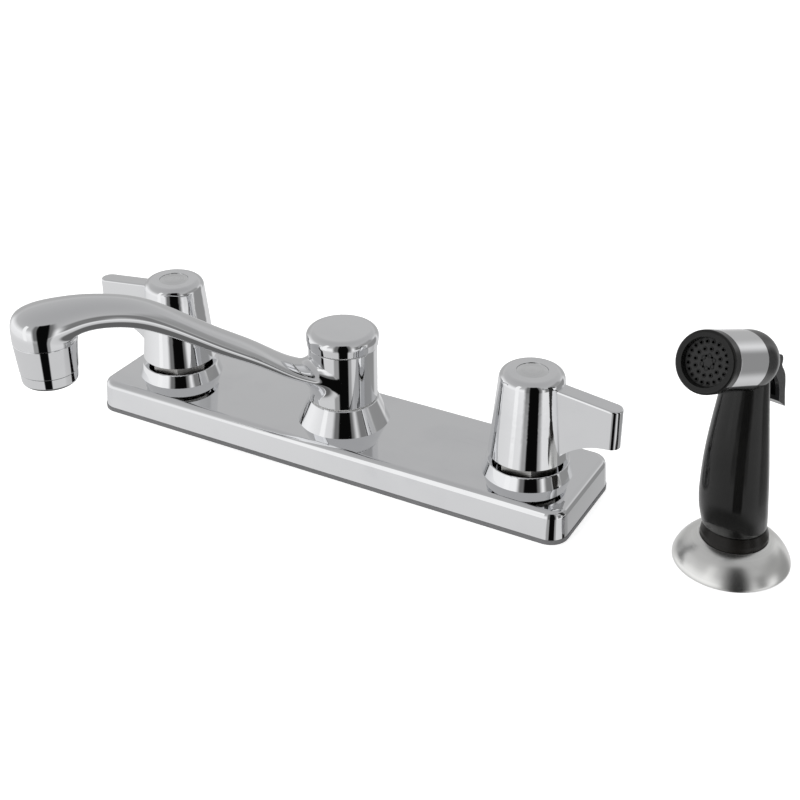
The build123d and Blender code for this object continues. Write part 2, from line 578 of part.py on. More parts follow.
def aerator_insert():
    """Plastic flow straightener with a ring pattern of holes."""
    outer = AERATOR_FOOT - 2.7
    insert = rod(outer, AERATOR_LEVEL + 1.0, SHELL_LEVEL + 1.5)
    for count, radius in ((6, 3.0), (12, 6.0), (18, 8.6)):
        for hole in around(rod(0.75, AERATOR_LEVEL, SHELL_LEVEL + 3), count, radius):
            insert -= hole
    return Pos(SPOUT_REACH, 0, 0) * insert


def aerator_washer():
    """Rubber washer between the insert and the spout."""
    washer = ring(AERATOR_FOOT - 2.9, 6.5, SHELL_LEVEL + 1.5, SHELL_LEVEL + 3.8)
    return Pos(SPOUT_REACH, 0, 0) * washer


# ------------------------------------------------------------------ spray holder
def holder_flange():
    """Spun metal dome that covers the sprayer's hole in the deck."""
    hole = HOLDER_SHANK + 0.3
    rim = FLANGE_RADIUS
    top = FLANGE_HEIGHT
    outside = Spline((rim, 0.9), (rim - 2.2, 3.4), (rim - 6.6, 0.83 * top), (hole, top),
                     tangents=((-0.2, 1), (-1, 0.05)))
    inside = Spline((hole, top - 1.3), (rim - 7.0, 0.83 * top - 1.4), (rim - 3.2, 2.2), (rim - 1.8, 0),
                    tangents=((1, -0.05), (0.25, -1)))
    face = make_face([outside, Line((hole, top), (hole, top - 1.3)), inside, Line((rim - 1.8, 0), (rim, 0)),
                      Line((rim, 0), (rim, 0.9))])
    return revolve(Plane.XZ * face, Axis.Z)


def holder_cup():
    """Plastic cup that the wand stands in: lip on the flange, threaded tube down through the deck."""
    groove = HOLDER_NUT_FOOT - 0.2
    neck = HOLDER_SHANK - GROOVE_DEPTH
    return turned(
        [(HOLDER_BORE, -HOLDER_DEPTH), (HOLDER_SHANK, -HOLDER_DEPTH), (HOLDER_SHANK, groove - GROOVE_WIDTH),
         (neck, groove - GROOVE_WIDTH), (neck, groove), (HOLDER_SHANK, groove), (HOLDER_SHANK, FLANGE_HEIGHT),
         (HOLDER_RADIUS, FLANGE_HEIGHT), (HOLDER_RADIUS, HOLDER_TOP - 4.0), (HOLDER_RADIUS - 1.6, HOLDER_TOP),
         (HOLDER_BORE + 1.8, HOLDER_TOP), (HOLDER_BORE, HOLDER_TOP - 5.0)],
        rounds=((9, 0.6), (8, 1.6), (7, 0.5), (1, 0.8)))


def holder_nut():
    """Plastic nut that pulls the holder down from below the deck."""
    top = -DECK_THICKNESS
    nut = hexagon(22.0, HOLDER_NUT_FOOT, top - 2.5) + rod(22.5, top - 2.5, top)
    return nut - rod(HOLDER_SHANK + SET_FIT, HOLDER_NUT_FOOT - 1, top + 1)


# ------------------------------------------------------------------ spray wand, drawn facing +X over its holder
def head_place():
    """Place at the crossing of neck and head: its z axis looks out of the spray face."""
    tilt = math.radians(HEAD_TILT)
    crossing = Plane(origin=(NECK_SHIFT, 0, HEAD_HEIGHT), x_dir=(0, 1, 0), z_dir=(math.cos(tilt), 0, math.sin(tilt)))
    return Location(crossing)


def grip_stations():
    """Back point, front point and width of the grip, from the holder's mouth to inside the head."""
    rise = HEAD_HEIGHT - HOLDER_TOP
    rounds = [
        (0.004, 0.3, 13.0), (0.022, 1.6, 14.1), (0.08, 3.5, 14.75), (0.18, 5.9, 15.0), (0.32, 7.6, 14.6),
        (0.47, 8.9, 13.7), (0.63, 9.6, 12.3), (0.80, 9.8, 10.6), (0.96, NECK_SHIFT, 9.0)]
    stations = []
    for part, shift, radius in rounds:
        level = HOLDER_TOP + part * rise
        stations.append((shift - radius, level, shift + radius, level, 2 * radius))
    return stations


def head_housing():
    """Rear part of the head, round like the collar and domed at the back, with a core that carries the collar."""
    front = HEAD_FORWARD - BEZEL_LENGTH - COLLAR_LENGTH
    radius = HEAD_RADIUS - 0.2
    dome = Spline((radius, front), (0.93 * radius, -0.25 * HEAD_BACK), (0.62 * radius, -0.72 * HEAD_BACK),
                  (0, -HEAD_BACK), tangents=((0, -1), (-1, 0)))
    rest = Polyline((0, -HEAD_BACK), (0, front + COLLAR_LENGTH), (HEAD_RADIUS - 2.2, front + COLLAR_LENGTH),
                    (HEAD_RADIUS - 2.2, front), (radius, front))
    housing = revolve(Plane.XZ * make_face([dome, rest]), Axis.Z)
    return head_place() * housing


def pin_rod(radius, half_width):
    """A cylinder across the wand, on the trigger's pin."""
    return Pos(-PIN_BACK, 0, PIN_HEIGHT) * Rot(90, 0, 0) * Cylinder(radius, 2 * half_width)


def wand_body():
    """Moulded grip, neck and rear head housing of the sprayer, with its tail in the holder."""
    body = flowing(grip_stations(), 22)
    tail_foot = HOLDER_TOP - WAND_TAIL_LENGTH
    body += rod(WAND_TAIL, tail_foot, HOLDER_TOP + 0.6)
    body += head_housing()
    body -= pin_rod(KNUCKLE_RADIUS + 0.4, TRIGGER_WIDTH / 2 + 0.4)
    inside = TRIGGER_WIDTH / 2 - TRIGGER_WALL - 0.4
    lug = Polyline((-PIN_BACK - 0.6, PIN_HEIGHT - 2.0), (4, PIN_HEIGHT - 3), (4, PIN_HEIGHT + 6),
                   (-PIN_BACK - 0.6, PIN_HEIGHT + 2.0), close=True)
    body += extrude(Plane.XZ * make_face(lug), inside, both=True)
    body += pin_rod(2.1, inside)
    body -= pin_rod(PIN_RADIUS + 0.02, TRIGGER_WIDTH)
    inlet = rod(7.1, tail_foot - 1, tail_foot + 8.0)
    slope = math.degrees(math.atan2(NECK_SHIFT, VALVE_HEIGHT - tail_foot))
    riser = Pos(0, 0, tail_foot) * Rot(0, slope, 0) * rod(WATER_RADIUS, 4.0, VALVE_HEIGHT - tail_foot + 0.5)
    body -= inlet + riser
    body -= cross_rod(VALVE_RADIUS, -6, VALVE_SEAT + 4.5 + VALVE_TRAVEL, VALVE_HEIGHT)
    body -= Pos(4.9, 0, 0) * rod(WATER_RADIUS - 0.6, VALVE_HEIGHT, HEAD_HEIGHT - 2.0)
    front = HEAD_FORWARD - BEZEL_LENGTH
    body -= head_place() * (rod(WATER_RADIUS, -7, front - 6) + rod(HEAD_RADIUS - 4.6, front - 7, front + 1))
    return body


def head_collar():
    """Plated collar round the head."""
    start = HEAD_FORWARD - BEZEL_LENGTH - COLLAR_LENGTH
    return head_place() * turned(
        [(HEAD_RADIUS - 2.1, start), (HEAD_RADIUS, start), (HEAD_RADIUS, start + COLLAR_LENGTH),
         (HEAD_RADIUS - 2.1, start + COLLAR_LENGTH)],
        rounds=((1, 0.3), (2, 0.5)))


def head_bezel():
    """Ring that frames the spray face and holds it against the core."""
    start = HEAD_FORWARD - BEZEL_LENGTH
    pocket = FACE_RADIUS + 1.2
    return head_place() * turned(
        [(pocket, start), (HEAD_RADIUS + 0.1, start), (HEAD_RADIUS + 0.1, HEAD_FORWARD),
         (FACE_RADIUS + 0.5, HEAD_FORWARD), (FACE_RADIUS, HEAD_FORWARD - FACE_DEPTH + 0.2),
         (pocket, HEAD_FORWARD - FACE_DEPTH - 0.1)],
        rounds=((2, 1.2), (1, 0.3)))


def spray_face():
    """Nozzle plate with three rings of holes."""
    low = HEAD_FORWARD - BEZEL_LENGTH + 0.2
    high = HEAD_FORWARD - FACE_DEPTH
    plate = turned(
        [(0, low), (FACE_RADIUS + 1.1, low), (FACE_RADIUS + 1.1, high - 0.3), (FACE_RADIUS - 0.1, high - 0.3),
         (FACE_RADIUS - 0.1, high), (0, high)])
    for count, part in ((20, 0.86), (12, 0.56), (6, 0.27)):
        for hole in around(rod(0.5, low - 1, high + 1), count, part * FACE_RADIUS):
            plate -= hole
    return head_place() * plate


def hose_coupling():
    """Brass coupling in the wand's tail that the hose screws to."""
    top = HOLDER_TOP - WAND_TAIL_LENGTH
    coupling = hexagon(9.4, top - 11, top - 0.1) + rod(7.0, top - 0.2, top + 7.0)
    return coupling - rod(4.0, top - 12, top + 8)


# ------------------------------------------------------------------ trigger and spray valve
def trigger():
    """Channel-shaped lever behind the neck: rounded at its pin, slanted free end, boss for the plunger."""
    start = (-PIN_BACK - KNUCKLE_RADIUS, PIN_HEIGHT)
    outer = Spline(start, (-PIN_BACK - 9.1, PIN_HEIGHT - 7.0), (-PIN_BACK - 12.6, PIN_HEIGHT - 18.5),
                   (-PIN_BACK - 15.0, PIN_HEIGHT - 27.0), tangents=((-0.3, -1), (-0.25, -1)))
    corner = (-PIN_BACK - 6.3, PIN_HEIGHT - 20.5)
    end = (-PIN_BACK + 0.34 * KNUCKLE_RADIUS, PIN_HEIGHT - 0.94 * KNUCKLE_RADIUS)
    side = make_face([
        outer,
        Line((-PIN_BACK - 15.0, PIN_HEIGHT - 27.0), corner),
        Spline(corner, (-PIN_BACK - 4.2, PIN_HEIGHT - 12.0), end),
        ThreePointArc(end, (-PIN_BACK + 0.7 * KNUCKLE_RADIUS, PIN_HEIGHT + 0.714 * KNUCKLE_RADIUS), start)])
    lever = extrude(Plane.XZ * side, TRIGGER_WIDTH / 2, both=True)
    back = outer.edges()[0]
    long_edges = lever.edges().filter_by(lambda edge: abs(edge.length - back.length) < 0.2)
    lever = fillet(long_edges.sort_by(Axis.X)[:2], 1.2)
    wall = TRIGGER_WALL
    channel = Polyline(
        (-PIN_BACK - KNUCKLE_RADIUS + wall, PIN_HEIGHT + 9), (-PIN_BACK - KNUCKLE_RADIUS + wall, PIN_HEIGHT),
        (-PIN_BACK - 9.1 + wall, PIN_HEIGHT - 7.0), (-PIN_BACK - 12.6 + wall, PIN_HEIGHT - 18.5),
        (-PIN_BACK - 11.9, PIN_HEIGHT - 22.6), (-PIN_BACK - 5.5, PIN_HEIGHT - 17.8), (6, PIN_HEIGHT - 9),
        (6, PIN_HEIGHT + 9), close=True)
    lever -= extrude(Plane.XZ * make_face(channel), TRIGGER_WIDTH / 2 - wall, both=True)
    wall_back = -PIN_BACK - 10.0
    boss = cross_rod(2.5, wall_back, -PLUNGER_END - 0.15, VALVE_HEIGHT)
    lever += boss & Pos(wall_back, 0, VALVE_HEIGHT) * Box(30, 9, 9)
    return lever - pin_rod(PIN_RADIUS + 0.05, TRIGGER_WIDTH)


def trigger_pin():
    """Steel pin that the trigger swings on."""
    return pin_rod(PIN_RADIUS, TRIGGER_WIDTH / 2 - 0.1)


def valve_place():
    """Place with its z axis along the spray valve, pointing forward."""
    return Pos(0, 0, VALVE_HEIGHT) * Rot(0, 90, 0)


def valve_sleeve():
    """Brass sleeve in the neck: guide for the plunger, cross hole to the head, seat at its inner end."""
    sleeve = turned(
        [(PLUNGER_RADIUS + SLIDE_FIT, -1.4), (VALVE_RADIUS - 0.05, -1.4), (VALVE_RADIUS - 0.05, VALVE_SEAT),
         (2.9, VALVE_SEAT), (2.9, 2.6), (PLUNGER_RADIUS + SLIDE_FIT, 2.6)],
        rounds=((1, 0.4),))
    return valve_place() * (sleeve - Pos(0, 0, 4.9) * Rot(0, 90, 0) * Cylinder(1.7, 12))


def valve_plunger():
    """Plunger with a domed free end and the disc that closes the seat."""
    tip = -PLUNGER_END
    plunger = turned(
        [(0, tip), (PLUNGER_RADIUS, tip), (PLUNGER_RADIUS, VALVE_SEAT + 0.02), (3.7, VALVE_SEAT + 0.02),
         (3.7, VALVE_SEAT + 1.8), (1.6, VALVE_SEAT + 1.8), (1.6, VALVE_SEAT + 3.6), (0, VALVE_SEAT + 3.6)],
        rounds=((1, 1.2), (4, 0.3)))
    return valve_place() * plunger


def plunger_spring():
    """Small spring that closes the spray valve."""
    low = VALVE_SEAT + 2.2
    height = 4.3
    coil = Helix(pitch=height / 4, height=height, radius=2.7)
    wire = sweep(Plane(origin=coil @ 0, z_dir=coil % 0) * Circle(0.35), path=coil)
    return valve_place() * Pos(0, 0, low) * wire


# ------------------------------------------------------------------ write the pieces
def main():
    os.makedirs("parts", exist_ok=True)
    save("base_gasket", base_gasket())
    save("deck_plate", deck_plate())
    sides = (("hot", HOT_X, 180, LEVER_REST), ("cold", COLD_X, 0, -LEVER_REST))
    for side, x, turn, lever in sides:
        inward = Pos(x, 0, 0) * Rot(0, 0, turn + 180)
        outward = Pos(x, 0, 0) * Rot(0, 0, turn + lever)
        save(f"{side}_valve_body", inward * valve_body())
        save(f"{side}_seat_seal", inward * seat_seal())
        save(f"{side}_fixed_disc", inward * ported_disc(DISC_FOOT))
        save(f"{side}_turning_disc", inward * Rot(0, 0, 90) * ported_disc(DISC_FOOT + DISC_THICKNESS + FACE_GAP))
        save(f"{side}_cartridge", inward * cartridge())
        save(f"{side}_bonnet_nut", inward * bonnet_nut())
        save(f"{side}_mounting_nut", inward * mounting_nut())
        save(f"{side}_stem", outward * valve_stem())
        save(f"{side}_handle", outward * handle())
        save(f"{side}_handle_screw", outward * handle_screw())
        save(f"{side}_index_button", outward * index_button())
        save(f"{side}_waterway_tube", Rot(0, 0, turn) * waterway_tube())
    save("spout_post", spout_post())
    save("spray_diverter", spray_diverter())
    save("spout_seal_rings", spout_seal_rings())
    save("spout_washers", spout_washers())
    save("spout_cap", spout_cap())
    swing = Rot(0, 0, 180 + SPOUT_SWING)
    save("spout", swing * spout())
    save("outlet_shell", swing * outlet_shell())
    save("aerator_ring", swing * aerator_ring())
    save("aerator_insert", swing * aerator_insert())
    save("aerator_washer", swing * aerator_washer())
    hole = Pos(SPRAY_SPACING, 0, 0)
    save("holder_flange", hole * holder_flange())
    save("holder_cup", hole * holder_cup())
    save("holder_nut", hole * holder_nut())
    docked = hole * Rot(0, 0, -90 - SPRAY_TURN)
    save("wand_body", docked * wand_body())
    save("head_collar", docked * head_collar())
    save("head_bezel", docked * head_bezel())
    save("spray_face", docked * spray_face())
    save("hose_coupling", docked * hose_coupling())
    save("trigger", docked * trigger())
    save("trigger_pin", docked * trigger_pin())
    save("valve_sleeve", docked * valve_sleeve())
    save("valve_plunger", docked * valve_plunger())
    save("plunger_spring", docked * plunger_spring())


main()
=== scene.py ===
# %% [markdown]
# # A two handle kitchen faucet with its side sprayer
#
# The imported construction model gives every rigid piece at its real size. This lesson gives those pieces
# their finishes, adds the small repeated work that a maker would see on the bench, draws three pieces anew,
# and sets up the light that makes plated metal look like plated metal. Everything is in metres, in the
# construction model's own frame: the origin is the middle of the deck plate's seat, +X runs to the cold
# valve, -Y to the person at the sink and +Z up.

# %% Load the frame
import json
import math

import bmesh
import bpy
from mathutils import Matrix, Vector


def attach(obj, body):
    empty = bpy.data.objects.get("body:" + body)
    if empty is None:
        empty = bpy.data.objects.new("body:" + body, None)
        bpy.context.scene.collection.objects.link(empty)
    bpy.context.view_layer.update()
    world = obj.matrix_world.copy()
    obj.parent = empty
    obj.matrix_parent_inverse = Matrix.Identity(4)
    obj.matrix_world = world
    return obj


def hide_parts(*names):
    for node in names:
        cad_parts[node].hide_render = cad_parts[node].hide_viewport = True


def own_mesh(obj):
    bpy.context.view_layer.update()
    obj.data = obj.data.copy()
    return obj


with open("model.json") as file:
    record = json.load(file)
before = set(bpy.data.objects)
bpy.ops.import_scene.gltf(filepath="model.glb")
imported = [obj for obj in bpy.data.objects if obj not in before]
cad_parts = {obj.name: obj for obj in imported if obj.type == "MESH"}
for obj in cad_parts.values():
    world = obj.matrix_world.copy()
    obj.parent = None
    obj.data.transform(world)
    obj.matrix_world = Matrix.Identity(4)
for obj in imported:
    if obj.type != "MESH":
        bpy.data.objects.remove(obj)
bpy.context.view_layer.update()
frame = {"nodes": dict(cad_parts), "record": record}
nodes = frame["nodes"]

# %% [markdown]
# ## Putting things in the scene
#
# Blender keeps an object apart from its data, such as a mesh, a lamp or a camera, and it shows the object
# only once that is linked to the scene. Everything new below goes in by these two steps, so one helper does
# both.

# %% Helper for new objects


def added(name, data):
    """A new object that holds the data, linked to the scene."""
    thing = bpy.data.objects.new(name, data)
    bpy.context.scene.collection.objects.link(thing)
    return thing


print("helper: added")

# %% [markdown]
# ## The camera
#
# A camera could be turned by hand until it looks right. Here it was solved from the picture instead: the
# plate's edges, the rims of both handles and the sprayer's ring have known real sizes, so the angle, the
# distance and the focal length that put them where the picture has them can be worked out once and written
# down as a few numbers.

# %% Camera
PICTURE_SIDE = 800
FOCAL_PIXELS = 1412.2
TURN = math.radians(28.87)
TILT = math.radians(29.98)
DISTANCE = 0.7623
LOOKS_AT = Vector((0.0035, 0.0522, 0.0))
SENSOR_MM = 36.0
NEAREST, FURTHEST = 0.01, 20

camera_data = bpy.data.cameras.new("camera")
camera_data.sensor_width = SENSOR_MM
camera_data.lens = FOCAL_PIXELS * SENSOR_MM / PICTURE_SIDE
camera_data.clip_start, camera_data.clip_end = NEAREST, FURTHEST
camera = added("camera", camera_data)
forward = Vector((-math.sin(TURN) * math.cos(TILT), math.cos(TURN) * math.cos(TILT), -math.sin(TILT)))
camera.location = LOOKS_AT - forward * DISTANCE
camera.rotation_euler = forward.to_track_quat("-Z", "Y").to_euler()
bpy.context.scene.camera = camera
print("camera at", [round(c, 4) for c in camera.location], "lens", round(camera_data.lens, 2), "mm")

# %% [markdown]
# ## Small helpers for node trees
#
# Every finish below is a small tree of nodes, and so is the sky. Writing each node out takes four lines, so
# a few helpers are worth having from the start. One links a socket or sets it, one does maths, one fades a
# value in over a range, one mixes two colours and one weighs two values against each other.

# %% Node helpers


def feed(tree, socket, value):
    """Links a socket to another one, or sets it to a plain value."""
    if isinstance(value, bpy.types.NodeSocket):
        tree.links.new(value, socket)
    else:
        socket.default_value = value


def maths(tree, operation, *values):
    """A maths node on sockets or plain numbers."""
    node = tree.nodes.new("ShaderNodeMath")
    node.operation = operation
    for socket, value in zip(node.inputs, values):
        feed(tree, socket, value)
    return node.outputs[0]


def fade(tree, value, zero_at, one_at, low=0.0, high=1.0):
    """Low where value is at zero_at, high where it is at one_at, and a soft run between them."""
    node = tree.nodes.new("ShaderNodeMapRange")
    node.interpolation_type = "SMOOTHSTEP"
    for label, number in (("From Min", zero_at), ("From Max", one_at), ("To Min", low), ("To Max", high)):
        feed(tree, node.inputs[label], number)
    tree.links.new(value, node.inputs["Value"])
    return node.outputs["Result"]


def mixed(tree, mask, first, second):
    """One colour where the mask is 0, another where it is 1."""
    node = tree.nodes.new("ShaderNodeMix")
    node.data_type = "RGBA"
    feed(tree, node.inputs["Factor"], mask)
    feed(tree, node.inputs["A"], first)
    feed(tree, node.inputs["B"], second)
    return node.outputs["Result"]


def weighed(tree, first, second, share):
    """The first value's share of one, and the rest of the second."""
    return maths(tree, "MULTIPLY_ADD", first, share, maths(tree, "MULTIPLY", second, 1 - share))


print("helpers: feed, maths, fade, mixed, weighed")

# %% [markdown]
# ### A material to start from
#
# All materials here use one shader, the Principled one, whose inputs are called what a maker would call
# them. Blender puts it in each new material, so the helper only has to find it.

# %% Helper for materials


def principled(name):
    """A new material, with its node tree and its Principled shader's node."""
    material = bpy.data.materials.new(name)
    material.use_nodes = True
    tree = material.node_tree
    shader = next(n for n in tree.nodes if n.type == "BSDF_PRINCIPLED")
    return material, tree, shader


print("helper: principled")

# %% [markdown]
# ## The floor
#
# The piece stands on white, as a catalogue shows it. A floor that only scatters light goes grey away from
# the lamps. This one also gives off a little light of its own, so that it stays white and still takes a
# soft shadow. It is hidden from reflections, because the metal should mirror the tent alone.

# %% Floor
FLOOR_REACH = 4.0
FLOOR_WHITE = 0.9
FLOOR_GLOW = 0.5
WHITE = (1, 1, 1, 1)

floor_mesh = bpy.data.meshes.new("floor")
floor_mesh.from_pydata([(-FLOOR_REACH, -FLOOR_REACH, 0), (FLOOR_REACH, -FLOOR_REACH, 0),
                        (FLOOR_REACH, FLOOR_REACH, 0), (-FLOOR_REACH, FLOOR_REACH, 0)], [], [(0, 1, 2, 3)])
floor = added("floor", floor_mesh)
floor.visible_glossy = False

floor_material, _, floor_shader = principled("white_floor")
for label, value in (
        ("Base Color", (FLOOR_WHITE, FLOOR_WHITE, FLOOR_WHITE, 1)), ("Roughness", 0.9),
        ("Specular IOR Level", 0.0), ("Emission Color", WHITE), ("Emission Strength", FLOOR_GLOW)):
    floor_shader.inputs[label].default_value = value
floor_mesh.materials.append(floor_material)
print("floor", 2 * FLOOR_REACH, "m across")

# %% [markdown]
# ## Lamps
#
# Two large soft lamps light what isn't mirror bright, such as the plastics and the floor. They are hidden
# from reflections too: a square lamp mirrored in every shoulder would tell the eye that it is looking at a
# render.

# %% Lamps


def softbox(name, place, aim, side, watts):
    """A large square lamp at a place, turned to a point."""
    data = bpy.data.lights.new(name, "AREA")
    data.shape = "SQUARE"
    data.size, data.energy = side, watts
    lamp = added(name, data)
    lamp.location = place
    lamp.rotation_euler = (Vector(aim) - Vector(place)).to_track_quat("-Z", "Y").to_euler()
    lamp.visible_glossy = False
    print("lamp", name, watts, "W,", side, "m")


softbox("overhead", place=(0.1, 0.1, 1.6), aim=(0, 0, 0), side=1.8, watts=16)
softbox("left_side", place=(-1.2, -0.6, 0.9), aim=(0, 0, 0.05), side=1.0, watts=4)

# %% [markdown]
# ## The tent
#
# Polished metal has no colour of its own: what it shows is the room. A product photographer stands the
# piece in a bright tent, which makes it pale, and lets dark gaps in, which give it edges. The tent could be
# built from cards and lamps. A sky made of nodes is simpler and has no corners. It has a tone for each
# height, palest at eye level and greyer overhead and below, and patches on it. Each patch has a bearing,
# counted from the camera's side and positive to the right, a slope above the horizon, a softness, and the
# grey that it brings. The black strip up the middle of every handle is one of them.

# %% What hangs in the tent
PATCHES = (
    # left, right, low, high, softness (all degrees), grey
    (-180, 180, -95, -48, 7, 0.13),
    (80, 128, -34, 14, 6, 0.28),
    (134, 228, -18, 24, 12, 0.46),
    (-228, -134, -18, 24, 12, 0.46),
    (60, 112, 10, 38, 8, 0.32),
    (38, 60, -13, 28, 6, 0.20),
    (-28, 30, -34, -23, 3, 0.34),
    (-26, 29, -22.5, 58, 6, 0.16),
    (-12, 20, -48, 61, 2.5, 0.003),
    (-60, -47, -22, 48, 2, 1.0),
)
# height from 0 straight down to 1 straight up, and the grey there
TONES = ((0.20, 0.64), (0.25, 0.66), (0.31, 0.78), (0.34, 0.88), (0.52, 0.97), (0.62, 0.80), (0.75, 0.50))
STRAIGHT_DOWN = (0.45, 0.45, 0.45, 1)
STRAIGHT_UP = (0.42, 0.42, 0.425, 1)
COOL = 1.005
print("tent with", len(PATCHES), "patches and", len(TONES) + 2, "tones")

# %% [markdown]
# ### Directions in the tent
#
# A sky's texture coordinates are the direction in which one looks. Turned with the camera, that direction
# gives a bearing and a slope as two angles, which are what the patches are listed in.

# %% Bearing and slope
world = bpy.data.worlds.new("tent")
bpy.context.scene.world = world
world.use_nodes = True
sky = world.node_tree
sky.nodes.clear()
toward = sky.nodes.new("ShaderNodeTexCoord").outputs["Generated"]
turned = sky.nodes.new("ShaderNodeMapping")
turned.inputs["Rotation"].default_value = (0, 0, -TURN)
sky.links.new(toward, turned.inputs["Vector"])
split = sky.nodes.new("ShaderNodeSeparateXYZ")
sky.links.new(turned.outputs[0], split.inputs[0])
side, depth, height = split.outputs
bearing = maths(sky, "ARCTAN2", side, maths(sky, "MULTIPLY", depth, -1.0))
slope = maths(sky, "ARCSINE", height)
print("directions turned by", round(math.degrees(TURN), 2), "degrees")

# %% [markdown]
# ### Tones, then patches
#
# A colour ramp gives the tones, and the patches are laid over it one after another, each where the masks of
# its bearing and its slope meet. The tent is there for reflections and for light. A camera that looks past
# the floor sees plain white instead.

# %% Tones and patches


def plateau(tree, value, low, high, soft):
    """A mask that is 1 where an angle is between two others, with soft edges."""
    rise = fade(tree, value, math.radians(low - soft), math.radians(low + soft))
    fall = fade(tree, value, math.radians(high - soft), math.radians(high + soft), 1.0, 0.0)
    return maths(tree, "MULTIPLY", rise, fall)


tone = sky.nodes.new("ShaderNodeValToRGB")
stops = tone.color_ramp.elements
stops[0].position, stops[0].color = 0.0, STRAIGHT_DOWN
stops[1].position, stops[1].color = 1.0, STRAIGHT_UP
for place, grey in TONES:
    stops.new(place).color = (grey, grey, grey * COOL, 1)
sky.links.new(maths(sky, "MULTIPLY_ADD", height, 0.5, 0.5), tone.inputs[0])

shade = tone.outputs[0]
for left, right, low, high, soft, grey in PATCHES:
    across = plateau(sky, bearing, left, right, soft) if right - left < 360 else 1.0
    patch = maths(sky, "MULTIPLY", across, plateau(sky, slope, low, high, soft))
    shade = mixed(sky, patch, shade, (grey, grey, grey, 1))
seen = sky.nodes.new("ShaderNodeLightPath").outputs["Is Camera Ray"]
glow = sky.nodes.new("ShaderNodeBackground")
sky.links.new(mixed(sky, seen, shade, WHITE), glow.inputs["Color"])
sky_out = sky.nodes.new("ShaderNodeOutputWorld")
sky.links.new(glow.outputs[0], sky_out.inputs[0])
print("tent with", len(sky.nodes), "nodes")

# %% [markdown]
# ## Effects that several finishes share
#
# Real surfaces differ by use as well as by stuff: fingers leave duller patches on plate and plastic alike,
# a lathe leaves rings on brass and on a spun ring alike, and a mould leaves a fine skin on all it makes.
# Each effect is built once as a node group with named inputs, and every material places it with values of
# its own.

# %% Helpers for shared effects


def effect(name, inputs, outputs):
    """An empty group of shader nodes with named number inputs and outputs, and its two ends."""
    tree = bpy.data.node_groups.new(name, "ShaderNodeTree")
    for label, start in inputs:
        socket = tree.interface.new_socket(name=label, in_out="INPUT", socket_type="NodeSocketFloat")
        socket.default_value = start
    for label in outputs:
        tree.interface.new_socket(name=label, in_out="OUTPUT", socket_type="NodeSocketFloat")
    return tree, tree.nodes.new("NodeGroupInput").outputs, tree.nodes.new("NodeGroupOutput").inputs


def noise(tree, vector, scale, detail):
    """A noise texture's value, with the scale in bumps to the metre."""
    node = tree.nodes.new("ShaderNodeTexNoise")
    feed(tree, node.inputs["Vector"], vector)
    feed(tree, node.inputs["Scale"], scale)
    node.inputs["Detail"].default_value = detail
    return node.outputs[0]


def own_place(tree):
    """Where a point is on its own object."""
    return tree.nodes.new("ShaderNodeTexCoord").outputs["Object"]


print("helpers: effect, noise, own_place")

# %% [markdown]
# ### Handling
#
# Plate that is wiped by hand is never evenly bright. The mask finds soft patches a few centimetres across,
# and fine broken hairlines inside them; together they raise the roughness a little. The ripple is the very
# shallow waviness that polishing wheels leave under plate, which makes long reflections wander like the
# real ones.

# %% Handling
HAIRS_PER_METRE = (60, 900, 60)
HAIRS_TURNED = (0.3, 0.5, 0.9)
RIPPLES_PER_METRE = 70.0

handling, given, gives = effect(
    "handling", (("Patch Size", 0.03), ("Polish", 0.03), ("Smudge", 0.06)), ("Roughness", "Mask", "Ripple"))
place = own_place(handling)
patches = noise(handling, place, maths(handling, "DIVIDE", 1.0, given["Patch Size"]), detail=3.0)
stretch = handling.nodes.new("ShaderNodeMapping")
stretch.inputs["Rotation"].default_value = HAIRS_TURNED
stretch.inputs["Scale"].default_value = HAIRS_PER_METRE
handling.links.new(place, stretch.inputs["Vector"])
hairs = fade(handling, noise(handling, stretch.outputs[0], 1.0, detail=1.0), zero_at=0.62, one_at=0.72)
soft_mask = fade(handling, patches, zero_at=0.48, one_at=0.72)
mask = maths(handling, "MULTIPLY", soft_mask, maths(handling, "MULTIPLY_ADD", hairs, 0.5, 0.5))
feed(handling, gives["Mask"], mask)
feed(handling, gives["Roughness"], maths(handling, "MULTIPLY_ADD", mask, given["Smudge"], given["Polish"]))
feed(handling, gives["Ripple"], noise(handling, place, RIPPLES_PER_METRE, detail=0.0))
print("effect", handling.name, "with", len(handling.nodes), "nodes")

# %% [markdown]
# ### Tool marks
#
# A turned piece has rings about its axis. All turned pieces here stand on axes that are one hole spacing
# apart, so one group serves them all: it folds X at that spacing, takes the distance to the nearest axis,
# and reads a noise along that distance and the height. Equal distances give equal marks, which is what a
# lathe does. The height counts a little less than the distance, because on a cone that rises as fast as it
# narrows the two would cancel out.

# %% Tool marks
HOLE_SPACING = 0.1016
HEIGHT_SHARE = 0.83

tool_marks, given, gives = effect("tool_marks", (("Pitch", 0.0003),), ("Height", "Tone"))
split = tool_marks.nodes.new("ShaderNodeSeparateXYZ")
tool_marks.links.new(own_place(tool_marks), split.inputs[0])
x, y, z = split.outputs
folded = maths(tool_marks, "WRAP", x, HOLE_SPACING / 2, -HOLE_SPACING / 2)
squares = maths(tool_marks, "MULTIPLY_ADD", folded, folded, maths(tool_marks, "MULTIPLY", y, y))
cut = maths(tool_marks, "MULTIPLY_ADD", z, HEIGHT_SHARE, maths(tool_marks, "SQRT", squares))
lathe = tool_marks.nodes.new("ShaderNodeTexNoise")
lathe.noise_dimensions = "1D"
lathe.inputs["Scale"].default_value = 1.0
lathe.inputs["Detail"].default_value = 3.0
feed(tool_marks, lathe.inputs["W"], maths(tool_marks, "DIVIDE", cut, given["Pitch"]))
feed(tool_marks, gives["Height"], lathe.outputs[0])
feed(tool_marks, gives["Tone"], fade(tool_marks, lathe.outputs[0], zero_at=0.3, one_at=0.7))
print("effect", tool_marks.name, "with", len(tool_marks.nodes), "nodes")

